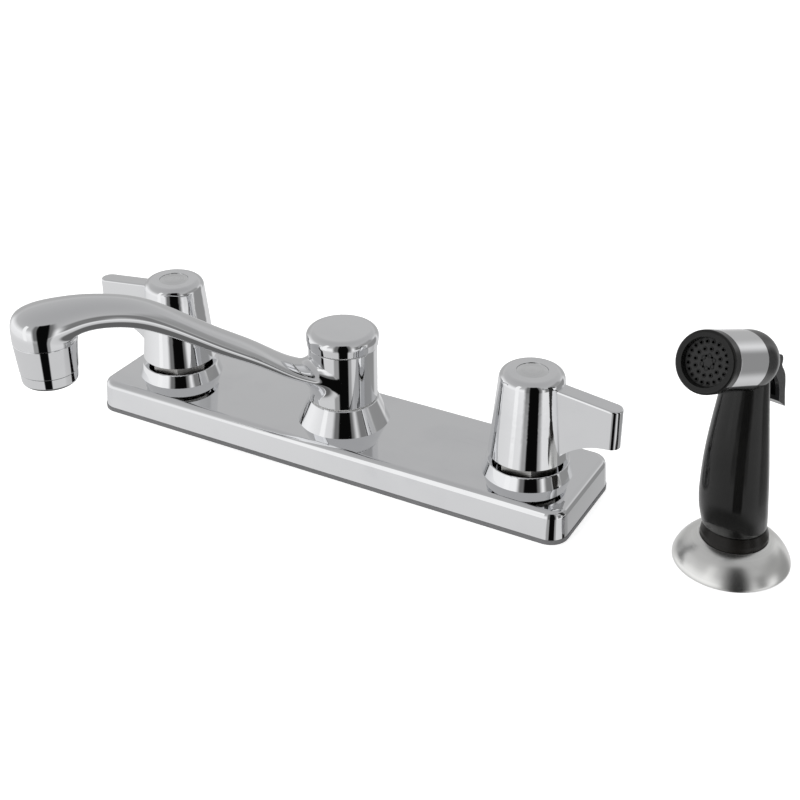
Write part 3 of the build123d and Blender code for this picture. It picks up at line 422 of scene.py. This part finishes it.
# %% [markdown]
# ### Moulded skin
#
# Plastic and rubber take the skin of their mould: a very fine grain, and a slow change of gloss where the
# melt cooled at different speeds. Fine noise gives the first and coarse noise the second.

# %% Moulded skin
FLOWS_PER_METRE = 45.0

mould_skin, given, gives = effect(
    "mould_skin", (("Grain Size", 0.0004), ("Gloss", 0.2), ("Gloss Change", 0.08)),
    ("Roughness", "Height", "Tone"))
place = own_place(mould_skin)
grain = noise(mould_skin, place, maths(mould_skin, "DIVIDE", 1.0, given["Grain Size"]), detail=2.0)
flow = fade(mould_skin, noise(mould_skin, place, FLOWS_PER_METRE, detail=2.0), zero_at=0.3, one_at=0.7)
feed(mould_skin, gives["Height"], grain)
feed(mould_skin, gives["Tone"], weighed(mould_skin, grain, flow, 0.5))
gloss = maths(mould_skin, "MULTIPLY_ADD", flow, given["Gloss Change"], given["Gloss"])
feed(mould_skin, gives["Roughness"], gloss)
print("effect", mould_skin.name, "with", len(mould_skin.nodes), "nodes")

# %% [markdown]
# ## The finishes
#
# A finish is a Principled shader with two near colours, a roughness that isn't even, and a very shallow
# bump. One helper places an effect in a material. The other wires what all finishes have, with the bump's
# depth in metres, because on mirror bright metal a bump of a few thousandths of a millimetre is already
# enough.

# %% Helpers for finishes
finishes = {}


def placed(tree, group, **values):
    """A shared effect placed in a material with its own values; the underscores in names stand for spaces."""
    node = tree.nodes.new("ShaderNodeGroup")
    node.node_tree = group
    for label, value in values.items():
        node.inputs[label.replace("_", " ")].default_value = value
    return node.outputs


def surface(name, material, shader, colours, blend, roughness, height, depth):
    """Two colours and their blend, an uneven roughness, and a relief as deep as the given metres."""
    tree = material.node_tree
    first, second = colours
    tree.links.new(mixed(tree, blend, (*first, 1), (*second, 1)), shader.inputs["Base Color"])
    tree.links.new(roughness, shader.inputs["Roughness"])
    bump = tree.nodes.new("ShaderNodeBump")
    bump.inputs["Strength"].default_value = 1.0
    bump.inputs["Distance"].default_value = depth
    tree.links.new(height, bump.inputs["Height"])
    tree.links.new(bump.outputs[0], shader.inputs["Normal"])
    finishes[name] = material
    print("finish", name)


print("helpers: placed, surface")

# %% [markdown]
# ### Smooth metal
#
# Chrome plate is almost a mirror. Its colour is a cool pale grey, its roughness only a few hundredths, and
# what tells it from a perfect mirror is handling: slightly duller, slightly darker patches, and a ripple.
# Drawn copper tube has no rings either. It has a softer shine, and it darkens in clouds where it was
# touched or heated, so its two colours are further apart.

# %% Chrome plate and copper


def smooth_finish(name, bright, dull, patch, polish, smudge, ripple):
    """Metal without rings: two colours, uneven polish and a ripple."""
    material, tree, shader = principled(name)
    marks = placed(tree, handling, Patch_Size=patch, Polish=polish, Smudge=smudge)
    shader.inputs["Metallic"].default_value = 1.0
    surface(name, material, shader, (bright, dull), marks["Mask"], marks["Roughness"], marks["Ripple"],
            ripple)


for row in (
        # name, bright and dull colour, size of patches, polish, smudge, depth of the ripple
        ("chrome", (0.87, 0.875, 0.885), (0.82, 0.825, 0.84), 0.028, 0.035, 0.05, 0.000012),
        ("copper", (0.82, 0.43, 0.26), (0.42, 0.20, 0.13), 0.022, 0.18, 0.25, 0.00002)):
    smooth_finish(*row)

# %% [markdown]
# ### Turned metal
#
# The ring under the sprayer is spun and only half polished, so its reflections are blurred along faint rings.
# The nuts in the gap under the handles are duller still, which is their own finish, and darker, which is
# painted shade standing in for the shadow in that narrow gap. The handles' buttons are a little duller than
# the handles. Brass and steel pieces come off a lathe and stay as they are. All are the same recipe: tool
# marks drive the relief and, with handling, the two tones, and handling drives the roughness.

# %% Turned metals
PATCH_ON_TURNED = 0.016


def turned_finish(name, bright, dull, polish, smudge, pitch, depth):
    """Metal off the lathe: rings in relief and tone, uneven polish."""
    material, tree, shader = principled(name)
    marks = placed(tree, handling, Patch_Size=PATCH_ON_TURNED, Polish=polish, Smudge=smudge)
    rings = placed(tree, tool_marks, Pitch=pitch)
    shader.inputs["Metallic"].default_value = 1.0
    blend = weighed(tree, rings["Tone"], marks["Mask"], 0.5)
    surface(name, material, shader, (bright, dull), blend, marks["Roughness"], rings["Height"], depth)


for row in (
        # name, bright and dull colour, polish, smudge, pitch and depth of the rings
        ("satin_nickel", (0.95, 0.95, 0.93), (0.86, 0.86, 0.84), 0.28, 0.08, 0.0005, 0.000005),
        # the nuts' nickel: duller as a real finish, and darker as painted shade for the gap under the handles
        ("dull_nickel_gap_shade", (0.62, 0.61, 0.58), (0.48, 0.47, 0.45), 0.30, 0.10, 0.0004, 0.000006),
        ("button_plate", (0.84, 0.845, 0.85), (0.74, 0.745, 0.75), 0.15, 0.08, 0.0009, 0.000008),
        ("brass", (0.80, 0.60, 0.30), (0.66, 0.47, 0.22), 0.20, 0.15, 0.0004, 0.000012),
        ("steel", (0.62, 0.63, 0.64), (0.50, 0.51, 0.52), 0.24, 0.10, 0.0003, 0.000006)):
    turned_finish(*row)

# %% [markdown]
# ### Mouldings
#
# The grip is glossy black, the trigger a shade lighter, the cup dark, and the rubber dull. The plastics
# inside are pale, and so is the valves' ceramic. They are one recipe with other numbers: the mould's skin
# for grain and gloss, and handling on top for the touched places. The shine is how strongly a surface
# mirrors what it faces: most plastics and rubbers keep the shader's usual half, and the blacks that look
# deepest in the picture have less.

# %% Mouldings
USUAL_SHINE = 0.5
PATCH_ON_MOULDED = 0.02


def moulded_finish(name, colour, paler, gloss, change, grain, depth, smudge, shine):
    """Plastic or rubber: fine grain, slow change of gloss, touched places a little paler."""
    material, tree, shader = principled(name)
    skin = placed(tree, mould_skin, Grain_Size=grain, Gloss=gloss, Gloss_Change=change)
    marks = placed(tree, handling, Patch_Size=PATCH_ON_MOULDED, Polish=0.0, Smudge=smudge)
    shader.inputs["Specular IOR Level"].default_value = shine
    blend = weighed(tree, skin["Tone"], marks["Mask"], 0.6)
    roughness = maths(tree, "ADD", skin["Roughness"], marks["Roughness"])
    surface(name, material, shader, (colour, paler), blend, roughness, skin["Height"], depth)


for row in (
        # name, two colours, roughness and its change, size and depth of the grain, smudge, shine
        ("black_plastic", (0.006, 0.006, 0.006), (0.014, 0.014, 0.013),
         0.06, 0.05, 0.0009, 0.000004, 0.05, 0.34),
        ("charcoal_plastic", (0.018, 0.018, 0.019), (0.032, 0.032, 0.033),
         0.13, 0.08, 0.0008, 0.000006, 0.06, USUAL_SHINE),
        ("dull_black", (0.010, 0.009, 0.008), (0.022, 0.020, 0.018),
         0.24, 0.10, 0.0007, 0.000008, 0.08, 0.22),
        ("black_rubber", (0.010, 0.010, 0.010), (0.022, 0.022, 0.022),
         0.34, 0.12, 0.0005, 0.00001, 0.10, USUAL_SHINE),
        ("grey_rubber", (0.16, 0.16, 0.165), (0.24, 0.24, 0.245),
         0.5, 0.15, 0.0005, 0.00001, 0.1, USUAL_SHINE),
        ("grey_plastic", (0.30, 0.30, 0.31), (0.38, 0.38, 0.39),
         0.42, 0.10, 0.0006, 0.00001, 0.08, USUAL_SHINE),
        ("white_plastic", (0.76, 0.76, 0.74), (0.84, 0.84, 0.82),
         0.35, 0.10, 0.0006, 0.000008, 0.08, USUAL_SHINE),
        ("white_ceramic", (0.84, 0.83, 0.80), (0.90, 0.89, 0.87),
         0.08, 0.04, 0.0003, 0.000001, 0.03, USUAL_SHINE)):
    moulded_finish(*row)

# %% [markdown]
# ### Which piece gets which finish
#
# The construction model's record already names a material for each piece, so nothing is listed twice: each
# node takes the finish that has its material's name. A few pieces are duller than that material's other
# pieces, or look unlike them in the picture, and only those are named here.

# %% Put the finishes on
# the bonnet nuts' darker nickel is painted shade for the narrow gap under the handles
DULLER = {"hot_bonnet_nut": "dull_nickel_gap_shade", "cold_bonnet_nut": "dull_nickel_gap_shade", "holder_cup": "dull_black",
          "hot_index_button": "button_plate", "cold_index_button": "button_plate"}

for part in frame["record"]["subparts"]:
    node = nodes[part["node"]]
    finish = finishes[DULLER.get(part["node"], part["material_slot"])]
    if not node.data.materials:
        node.data.materials.append(finish)
    for slot in node.material_slots:
        slot.material = finish

# %% [markdown]
# ## New pieces
#
# Every new piece ends in the same few steps, whether nodes or code made its mesh. It is shaded smooth, it
# goes into the scene, and it rides on a body.

# %% Helper for new pieces


def piece_of(name, mesh, body):
    """A smooth piece of a mesh, in the scene and riding on a body."""
    mesh.polygons.foreach_set("use_smooth", [True] * len(mesh.polygons))
    piece = added(name, mesh)
    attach(piece, body)
    print(name, "faces", len(mesh.polygons), "size mm", [round(1000 * d, 1) for d in piece.dimensions])
    return piece


print("helper: piece_of")

# %% [markdown]
# ## Repeated work: helpers for geometry nodes
#
# Threads, springs and nozzles repeat by a rule, which is what geometry nodes are for. A tree is built once
# with named inputs for its sizes. One empty object carries a modifier for each place, and each modifier
# adds its own shape to what the one before it made. Inputs are set by their sockets' identifiers before
# anything is evaluated. At the end the result is turned into a plain mesh and the carrier is thrown away.

# %% Helpers for a tree


def shape_tree(name, inputs):
    """A geometry node tree that adds to the geometry it is given, with named inputs of the given kinds."""
    tree = bpy.data.node_groups.new(name, "GeometryNodeTree")
    ends = (("Place", "Vector"), ("Turn", "Vector"), ("Finish", "Material"))
    for label, kind in (("Geometry", "Geometry"), *inputs, *ends):
        tree.interface.new_socket(name=label, in_out="INPUT", socket_type="NodeSocket" + kind)
    tree.interface.new_socket(name="Geometry", in_out="OUTPUT", socket_type="NodeSocketGeometry")
    return tree, tree.nodes.new("NodeGroupInput").outputs


def geo(tree, kind, **values):
    """A geometry node's result, with its inputs set or linked; the underscores in names stand for spaces."""
    node = tree.nodes.new("GeometryNode" + kind)
    for label, value in values.items():
        feed(tree, node.inputs[label.replace("_", " ")], value)
    return node.outputs[0]


def close_tree(tree, given, shape):
    """Moves the new shape to its place, adds it to what came in, and gives the finish."""
    moved = geo(tree, "Transform", Geometry=shape, Translation=given["Place"], Rotation=given["Turn"])
    join = tree.nodes.new("GeometryNodeJoinGeometry")
    tree.links.new(given["Geometry"], join.inputs[0])
    tree.links.new(moved, join.inputs[0])
    plain = geo(tree, "RealizeInstances", Geometry=join.outputs[0])
    finished = geo(tree, "SetMaterial", Geometry=plain, Material=given["Finish"])
    tree.links.new(finished, tree.nodes.new("NodeGroupOutput").inputs["Geometry"])
    print("tree", tree.name, "with", len(tree.nodes), "nodes")


print("helpers: shape_tree, geo, close_tree")

# %% Helper for a piece grown by a tree
SAME_POINT = 0.000001


def grown(name, tree, settings, finish, body):
    """A plain mesh from one modifier for each group of settings, riding on a body."""
    carrier = added(name + "_carrier", bpy.data.meshes.new(name + "_carrier"))
    identifiers = {s.name: s.identifier for s in tree.interface.items_tree if s.in_out == "INPUT"}
    for values in settings:
        modifier = carrier.modifiers.new(name, "NODES")
        modifier.node_group = tree
        for label, value in {**values, "Finish": finishes[finish]}.items():
            modifier[identifiers[label]] = value
    evaluated = carrier.evaluated_get(bpy.context.evaluated_depsgraph_get())
    mesh = bpy.data.meshes.new_from_object(evaluated)
    carrier.modifiers.clear()
    bpy.data.objects.remove(carrier)
    shell = bmesh.new()
    shell.from_mesh(mesh)
    bmesh.ops.remove_doubles(shell, verts=shell.verts, dist=SAME_POINT)
    bmesh.ops.recalc_face_normals(shell, faces=shell.faces)
    shell.to_mesh(mesh)
    shell.free()
    return piece_of(name, mesh, body)


print("helper: grown")

# %% [markdown]
# ## Threads and a spring
#
# The construction model leaves threads out: its shanks are plain at their outer size. A thread is a ridge
# that climbs evenly round a cylinder, so a spiral curve gives its path and a three-sided profile its
# section. The ridge is drawn only where a shank is bare, above its nut and on the free end below it. A coil
# spring is the same idea with a round section, so one tree makes both.

# %% The winding tree
STEPS_PER_TURN = 24

winding, given = shape_tree("winding", (
    ("Radius", "Float"), ("Pitch", "Float"), ("Length", "Float"), ("Wire", "Float"), ("Sides", "Int")))
turns = maths(winding, "DIVIDE", given["Length"], given["Pitch"])
path = geo(winding, "CurveSpiral", Resolution=STEPS_PER_TURN, Rotations=turns, Start_Radius=given["Radius"],
           End_Radius=given["Radius"], Height=given["Length"])
section = geo(winding, "CurvePrimitiveCircle", Resolution=given["Sides"], Radius=given["Wire"])
close_tree(winding, given, geo(winding, "CurveToMesh", Curve=path, Profile_Curve=section, Fill_Caps=True))

# %% Threads on the brass shanks and on the holder's tube
HALF_INCH_PITCH, NIPPLE_PITCH, HOLDER_PITCH = 0.001814, 0.001411, 0.002
SHANK_RADIUS, NIPPLE_RADIUS, HOLDER_RADIUS = 0.0103, 0.0065, 0.0141
RIDGE, RIDGE_SIDES = 0.00032, 3
ABOVE_NUT = (-0.0174, -0.0010)
SPRAYER_X = 2 * HOLE_SPACING


def threads(x, radius, pitch, *stretches):
    """Settings for the bare stretches of one shank's thread, each from its foot to its top."""
    return [{"Radius": radius, "Pitch": pitch, "Length": top - foot, "Wire": RIDGE, "Sides": RIDGE_SIDES,
             "Place": (x, 0, foot), "Turn": (0, 0, 0)} for foot, top in stretches]


brass_threads = threads(0, NIPPLE_RADIUS, NIPPLE_PITCH, (-0.0234, -0.0010))
for x in (-HOLE_SPACING, HOLE_SPACING):
    brass_threads += threads(x, SHANK_RADIUS, HALF_INCH_PITCH, (-0.0434, -0.0324), ABOVE_NUT)
holder_threads = threads(SPRAYER_X, HOLDER_RADIUS, HOLDER_PITCH, (-0.0366, -0.0284), ABOVE_NUT)
grown("shank_threads", winding, brass_threads, "brass", "root")
grown("holder_thread", winding, holder_threads, "black_plastic", "root")

# %% [markdown]
# ### The spring behind the spray valve
#
# The spring behind the spray valve shortens when the trigger is pressed. The imported one is rigid, so the
# plunger would push into it. This one is drawn in its place, and the imported one is hidden.

# %% Spring behind the spray valve
SPRAYER_TURN = math.radians(-101)
VALVE_LEVEL = 0.088
SPRING_START, SPRING_END = 0.0102, 0.0145
SPRING_RADIUS, SPRING_TURNS = 0.0027, 4
SPRING_WIRE, WIRE_SIDES = 0.00035, 10

sprayer_place = Matrix.Translation((SPRAYER_X, 0, 0)) @ Matrix.Rotation(SPRAYER_TURN, 4, "Z")
spring_turn = (sprayer_place @ Matrix.Rotation(math.pi / 2, 4, "Y")).to_euler()
spring_length = SPRING_END - SPRING_START
spring_start = sprayer_place @ Vector((SPRING_START, 0, VALVE_LEVEL))
coil = {"Radius": SPRING_RADIUS, "Pitch": spring_length / SPRING_TURNS, "Length": spring_length,
        "Wire": SPRING_WIRE, "Sides": WIRE_SIDES, "Place": tuple(spring_start), "Turn": tuple(spring_turn)}
spring = grown("valve_spring", winding, [coil], "steel", "sprayer")
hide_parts("plunger_spring")
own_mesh(spring)

# %% [markdown]
# ## Nozzles
#
# Each hole of the spray face opens in a small soft collar that a thumb can rub clean. They stand in three
# rings, so a circle of points carries copies of one collar, a ring with a round section. The face looks up
# and forward, so the whole ring is turned and moved as the last step.

# %% The nozzles' tree
COLLAR_STEPS, BEAD_STEPS = 14, 6

nozzles, given = shape_tree("nozzles", (
    ("Count", "Int"), ("Ring Radius", "Float"), ("Collar Radius", "Float"), ("Bead", "Float")))
ring = geo(nozzles, "MeshCircle", Vertices=given["Count"], Radius=given["Ring Radius"])
circle = geo(nozzles, "CurvePrimitiveCircle", Resolution=COLLAR_STEPS, Radius=given["Collar Radius"])
bead = geo(nozzles, "CurvePrimitiveCircle", Resolution=BEAD_STEPS, Radius=given["Bead"])
collar = geo(nozzles, "CurveToMesh", Curve=circle, Profile_Curve=bead)
close_tree(nozzles, given, geo(nozzles, "InstanceOnPoints", Points=ring, Instance=collar))

# %% Nozzles on the spray face
FACE_TILT = math.radians(21)
NECK_FORWARD = 0.0096
HEAD_LEVEL = 0.1054
FACE_FORWARD = 0.0404
FACE_RADIUS = 0.0095
COLLAR_RADIUS, BEAD_RADIUS = 0.00074, 0.00024
NOZZLE_RINGS = ((20, 0.86), (12, 0.56), (6, 0.27))  # count, and the share of the face's radius

head_place = sprayer_place @ Matrix.Translation((NECK_FORWARD, 0, HEAD_LEVEL)) @ Matrix.Rotation(
    math.pi / 2 - FACE_TILT, 4, "Y")
face_middle = tuple(head_place @ Vector((0, 0, FACE_FORWARD)))
face_turn = tuple(head_place.to_euler())
rings = [{"Count": count, "Ring Radius": share * FACE_RADIUS, "Collar Radius": COLLAR_RADIUS,
          "Bead": BEAD_RADIUS, "Place": face_middle, "Turn": face_turn} for count, share in NOZZLE_RINGS]
grown("nozzle_collars", nozzles, rings, "black_rubber", "sprayer")

# %% [markdown]
# ## The spout, drawn as a skin over rings
#
# On the real spout one casting is sleeve, arm and hood in one, polished until nothing shows where one ends
# and the next begins. Polished metal makes every small crease plain to see, so the construction model's
# spout, which is joined from lengths, is replaced by one smooth skin. First come three helpers: one lays
# faces between rows of points, one makes such rows for a turned shape, and one makes a finished piece of a
# shell and hides the piece that it stands for.

# %% Helpers for skins
SHARP_FROM = math.radians(38)


def skin(shell, rows, ring=False):
    """Lays faces between rows of points; one point is a pole, and a ring's last row meets its first."""
    made = [[shell.verts.new(point) for point in row] for row in rows]
    for one, two in zip(made, made[1:] + made[:1] if ring else made[1:]):
        for k in range(max(len(one), len(two))):
            corners = (one[k % len(one)], one[(k + 1) % len(one)], two[(k + 1) % len(two)], two[k % len(two)])
            shell.faces.new(list(dict.fromkeys(corners)))


def turned_rows(profile, columns, x=0.0):
    """Rows of points for a shape turned about an upright axis at x, from radii and heights in millimetres."""
    corners = [2 * math.pi * k / columns for k in range(columns)]
    return [[Vector((x + radius / 1000 * math.cos(a), radius / 1000 * math.sin(a), height / 1000))
             for a in corners] for radius, height in profile]


def built(name, shell, finish, body, stands_for):
    """A finished piece of a shell, smooth but for its sharp edges."""
    bmesh.ops.recalc_face_normals(shell, faces=shell.faces)
    mesh = bpy.data.meshes.new(name)
    shell.to_mesh(mesh)
    shell.free()
    mesh.materials.append(finishes[finish])
    piece = piece_of(name, mesh, body)
    mesh.set_sharp_from_angle(angle=SHARP_FROM)
    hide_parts(stands_for)


print("helpers: skin, turned_rows, built")

# %% [markdown]
# ### The rings
#
# A maker would draw the spout from the side: one line for its underside, one for its top, and a width at
# each place. Each ring here is an oval across from a point on the underside to a point on the top. At the
# outlet the rings fan out about the inner corner until they lie flat, so the arch runs down into an upright
# round hood. The curve through the rings is a cubic one, whose bend changes evenly: on chrome, a line that
# is only smooth to the touch still shows a kink in its reflections. Its control rings are found by moving
# each by as much as the curve misses the ring.

# %% Rings along the spout
SPOUT_RINGS = (
    # underside x and z, top x and z, width, all in millimetres from the post's axis and the sink's top
    (10.7, 38.4, 7.2, 45.6, 26.5), (29.2, 46.0, 24.7, 52.8, 23.5), (46.3, 56.2, 41.5, 64.4, 21.0),
    (63.6, 65.6, 58.4, 75.0, 20.0), (80.8, 76.0, 75.2, 86.0, 19.6), (98.3, 84.9, 93.7, 97.3, 20.2),
    (111.5, 88.4, 111.1, 102.5, 21.6), (119.0, 89.1, 122.6, 104.0, 23.6), (122.6, 89.0, 132.0, 104.2, 25.6),
    (124.6, 88.7, 140.8, 103.7, 27.6), (125.7, 88.3, 148.2, 102.4, 28.9), (126.3, 88.0, 153.5, 99.8, 29.4),
    (126.6, 87.8, 155.7, 95.6, 29.4), (126.6, 87.5, 156.0, 91.0, 29.4), (126.6, 87.3, 156.0, 87.3, 29.4))
FITTING_ROUNDS = 40


def along(controls, t):
    """A ring's five numbers at any place between the rings, on a cubic curve with even bend."""
    first = min(int(t), len(controls) - 2)
    u = t - first
    weights = ((1 - u) ** 3 / 6, (3 * u ** 3 - 6 * u * u + 4) / 6,
               (-3 * u ** 3 + 3 * u * u + 3 * u + 1) / 6, u ** 3 / 6)
    before = [2 * a - b for a, b in zip(controls[0], controls[1])]
    after = [2 * a - b for a, b in zip(controls[-1], controls[-2])]
    near = [before, *controls, after][first:first + 4]
    return [sum(w * value for w, value in zip(weights, column)) for column in zip(*near)]


controls = [list(ring) for ring in SPOUT_RINGS]
for _ in range(FITTING_ROUNDS):
    misses = [[want - got for want, got in zip(ring, along(controls, k))]
              for k, ring in enumerate(SPOUT_RINGS)]
    controls = [[c + miss for c, miss in zip(ring, row)] for ring, row in zip(controls, misses)]
print("curve misses the rings by at most", f"{max(abs(m) for row in misses for m in row):.5f}", "mm")

# %% [markdown]
# ### The root
#
# Where the arm leaves its sleeve, the casting is blended by a round as wide as a finger tip. For each line
# along the arm the script looks for the place where it would pierce the sleeve, by halving the stretch in
# which that must be.

# %% Where the arm pierces the sleeve
SLEEVE_RADIUS = 0.0171
COLUMNS = 96
PIERCED_BEFORE = 1.3
HALVINGS = 30


def on_spout(t, a):
    """A point of the spout's skin: t says which ring, a is the angle round it, 0 at the top."""
    low_x, low_z, high_x, high_z, width = along(controls, t)
    c = math.cos(a) / 2
    return Vector(((low_x + high_x) / 2 + c * (high_x - low_x), math.sin(a) * width / 2,
                   (low_z + high_z) / 2 + c * (high_z - low_z))) / 1000


angles = [2 * math.pi * k / COLUMNS for k in range(COLUMNS)]
pierced = []
for a in angles:
    inside, outside = 0.0, PIERCED_BEFORE
    for _ in range(HALVINGS):
        middle = (inside + outside) / 2
        if on_spout(middle, a).xy.length < SLEEVE_RADIUS:
            inside = middle
        else:
            outside = middle
    pierced.append(inside)
rim = [on_spout(t, a) for t, a in zip(pierced, angles)]
flat = [Vector((SLEEVE_RADIUS * math.atan2(point.y, point.x), point.z)) for point in rim]
centre = sum(flat, Vector((0, 0))) / COLUMNS
print("arm pierces the sleeve from", round(min(p.y for p in flat) * 1000, 1), "to",
      round(max(p.y for p in flat) * 1000, 1), "mm")

# %% [markdown]
# ### The blend
#
# From a point a little further out on the arm to a point a little further round the sleeve a curve is drawn
# that leaves each of them along its own surface. Which way that is, the script finds by a very small step
# along the surface. The sleeve's wall is rolled out flat for this, so that straight away from the rim has a
# plain meaning.

# %% Blend from the arm to the sleeve
BLEND_ON_ARM = 0.45
BLEND_ON_SLEEVE = 0.0062
NARROWER_ON_TOP = 0.4
BLEND_ROWS = 14
SKIN_LIFT = 0.000003
FOOT_DEPTH = 0.0008
STEP_ON_SLEEVE, STEP_ON_ARM = 0.00001, 0.001


def on_sleeve(place, radius=SLEEVE_RADIUS + SKIN_LIFT):
    """A point on the sleeve, from a place on the sleeve's wall rolled out flat."""
    a = place.x / SLEEVE_RADIUS
    return Vector((radius * math.cos(a), radius * math.sin(a), place.y))


def bridge(s, start, leave, end, arrive):
    """A point at the share s of the curve that leaves its start one way and comes to its end another way."""
    reach = (end - start).length
    return ((2 * s ** 3 - 3 * s * s + 1) * start + (s ** 3 - 2 * s * s + s) * reach * leave
            + (3 * s * s - 2 * s ** 3) * end + (s ** 3 - s * s) * reach * arrive)


blend = [[] for _ in range(BLEND_ROWS + 1)]
foot, starts = [], []
for k, a in enumerate(angles):
    run = flat[(k + 1) % COLUMNS] - flat[k - 1]
    out = Vector((run.y, -run.x)).normalized()
    if out.dot(flat[k] - centre) < 0:
        out = -out
    share = 1 - NARROWER_ON_TOP * math.cos(a)
    place = flat[k] + out * BLEND_ON_SLEEVE * share
    start = on_sleeve(place)
    leave = (on_sleeve(place - out * STEP_ON_SLEEVE) - start).normalized()
    t = pierced[k] + BLEND_ON_ARM * share
    end = on_spout(t, a)
    arrive = (on_spout(t + STEP_ON_ARM, a) - end).normalized()
    starts.append(t)
    foot.append(on_sleeve(place, SLEEVE_RADIUS - FOOT_DEPTH))
    for row, points in enumerate(blend):
        points.append(bridge(row / BLEND_ROWS, start, leave, end, arrive))
print("blend of", len(blend), "rows with", COLUMNS, "points each")

# %% [markdown]
# ### The skin
#
# The rows run from inside the sleeve's wall over the blend, along the arm and round the hood, then turn in
# under it and up into the outlet, so the shell is closed. The sleeve is a turned tube of its own in the
# same mesh. Rows that lie very close together beside each edge keep its shading crisp.

# %% Spout
SPOUT_TURN = math.radians(230)
SPOUT_AXIS_TO_OUTLET = 0.1413
# radius and height in millimetres; the sleeve's edge has its height from the end
SLEEVE_FOOT, SLEEVE_TOP = 29.2, 57.4
SLEEVE_EDGE = ((12.28, 0.0), (16.75, 0.0), (16.8, 0.0), (17.0, 0.1), (17.1, 0.3), (17.1, 0.35))
OUTLET = ((14.7, 87.25), (14.55, 87.08), (14.4, 87.0), (14.3, 87.0), (10.9, 87.0), (10.9, 76.5), (9.1, 76.5),
          (9.1, 92.0), (0.0, 92.0))
EVEN_FROM = 2
ROWS_TO_EVEN, ROWS_PER_RING = 12, 8
FINE_COLUMNS = 144

rows = [[sum(foot, Vector()) / COLUMNS], foot, *blend]
for step in range(1, ROWS_TO_EVEN + 1):
    rows.append([on_spout(t + (EVEN_FROM - t) * step / ROWS_TO_EVEN, a) for t, a in zip(starts, angles)])
for step in range(1, (len(SPOUT_RINGS) - 1 - EVEN_FROM) * ROWS_PER_RING + 1):
    rows.append([on_spout(EVEN_FROM + step / ROWS_PER_RING, a) for a in angles])
outlet = turned_rows(OUTLET, COLUMNS, SPOUT_AXIS_TO_OUTLET)
rows += [*outlet[:-1], outlet[-1][:1]]
sleeve = [(radius, SLEEVE_FOOT + rise) for radius, rise in SLEEVE_EDGE]
sleeve += [(radius, SLEEVE_TOP - rise) for radius, rise in reversed(SLEEVE_EDGE)]
spout_shell = bmesh.new()
skin(spout_shell, rows)
skin(spout_shell, turned_rows(sleeve, FINE_COLUMNS), ring=True)
turn = Matrix.Rotation(SPOUT_TURN, 3, "Z")
bmesh.ops.rotate(spout_shell, verts=spout_shell.verts, cent=(0, 0, 0), matrix=turn)
built("cast_spout", spout_shell, "chrome", "spout", "spout")

# %% [markdown]
# ## The flange under the sprayer
#
# A thin ring spun from sheet stands up as a dome and hides the hole. Its height was read from the picture
# against the foot of the cup, which covers its inner edge. A spun piece is one section turned about the
# axis, so the section is drawn once, outside and inside, and skinned all the way round.

# %% Flange
# radius and height in millimetres
FLANGE_OUTSIDE = (
    (26.35, 0.0), (26.4, 0.05), (26.4, 0.7), (26.36, 1.1), (26.2, 1.7), (25.8, 2.7), (25.1, 4.1), (24.1, 5.7),
    (22.8, 7.4), (21.2, 9.1), (19.4, 10.6), (17.6, 11.7), (16.1, 12.3), (15.35, 12.5))
FLANGE_INSIDE = (
    (15.2, 12.4), (15.2, 11.7), (16.0, 11.4), (17.2, 10.9), (19.0, 9.8), (20.8, 8.3), (22.4, 6.6),
    (23.7, 4.8), (24.7, 2.8), (25.3, 0.0))

flange_shell = bmesh.new()
skin(flange_shell, turned_rows((*FLANGE_OUTSIDE, *FLANGE_INSIDE), FINE_COLUMNS, SPRAYER_X), ring=True)
built("spun_flange", flange_shell, "satin_nickel", "root", "holder_flange")

# %% [markdown]
# ## What the plate shouldn't mirror
#
# The floor is hidden from reflections, and so it hides nothing from them. The brass and copper under the
# sink's top would show in the plate and the flange as brown spots, so they are taken out of the reflections
# too.

# %% Brass and copper out of the reflections
bare_metals = finishes["brass"], finishes["copper"]
unmirrored = [piece for piece in bpy.context.scene.objects
              if piece.type == "MESH" and any(finish in bare_metals for finish in piece.data.materials)]
for piece in unmirrored:
    piece.visible_glossy = False
print("not mirrored:", len(unmirrored), "pieces")

# %% [markdown]
# ## Last settings
#
# The picture's whites are plain whites, so the plain Standard view is used instead of one that rolls
# highlights off.

# %% Finish
bpy.context.scene.view_settings.view_transform = "Standard"
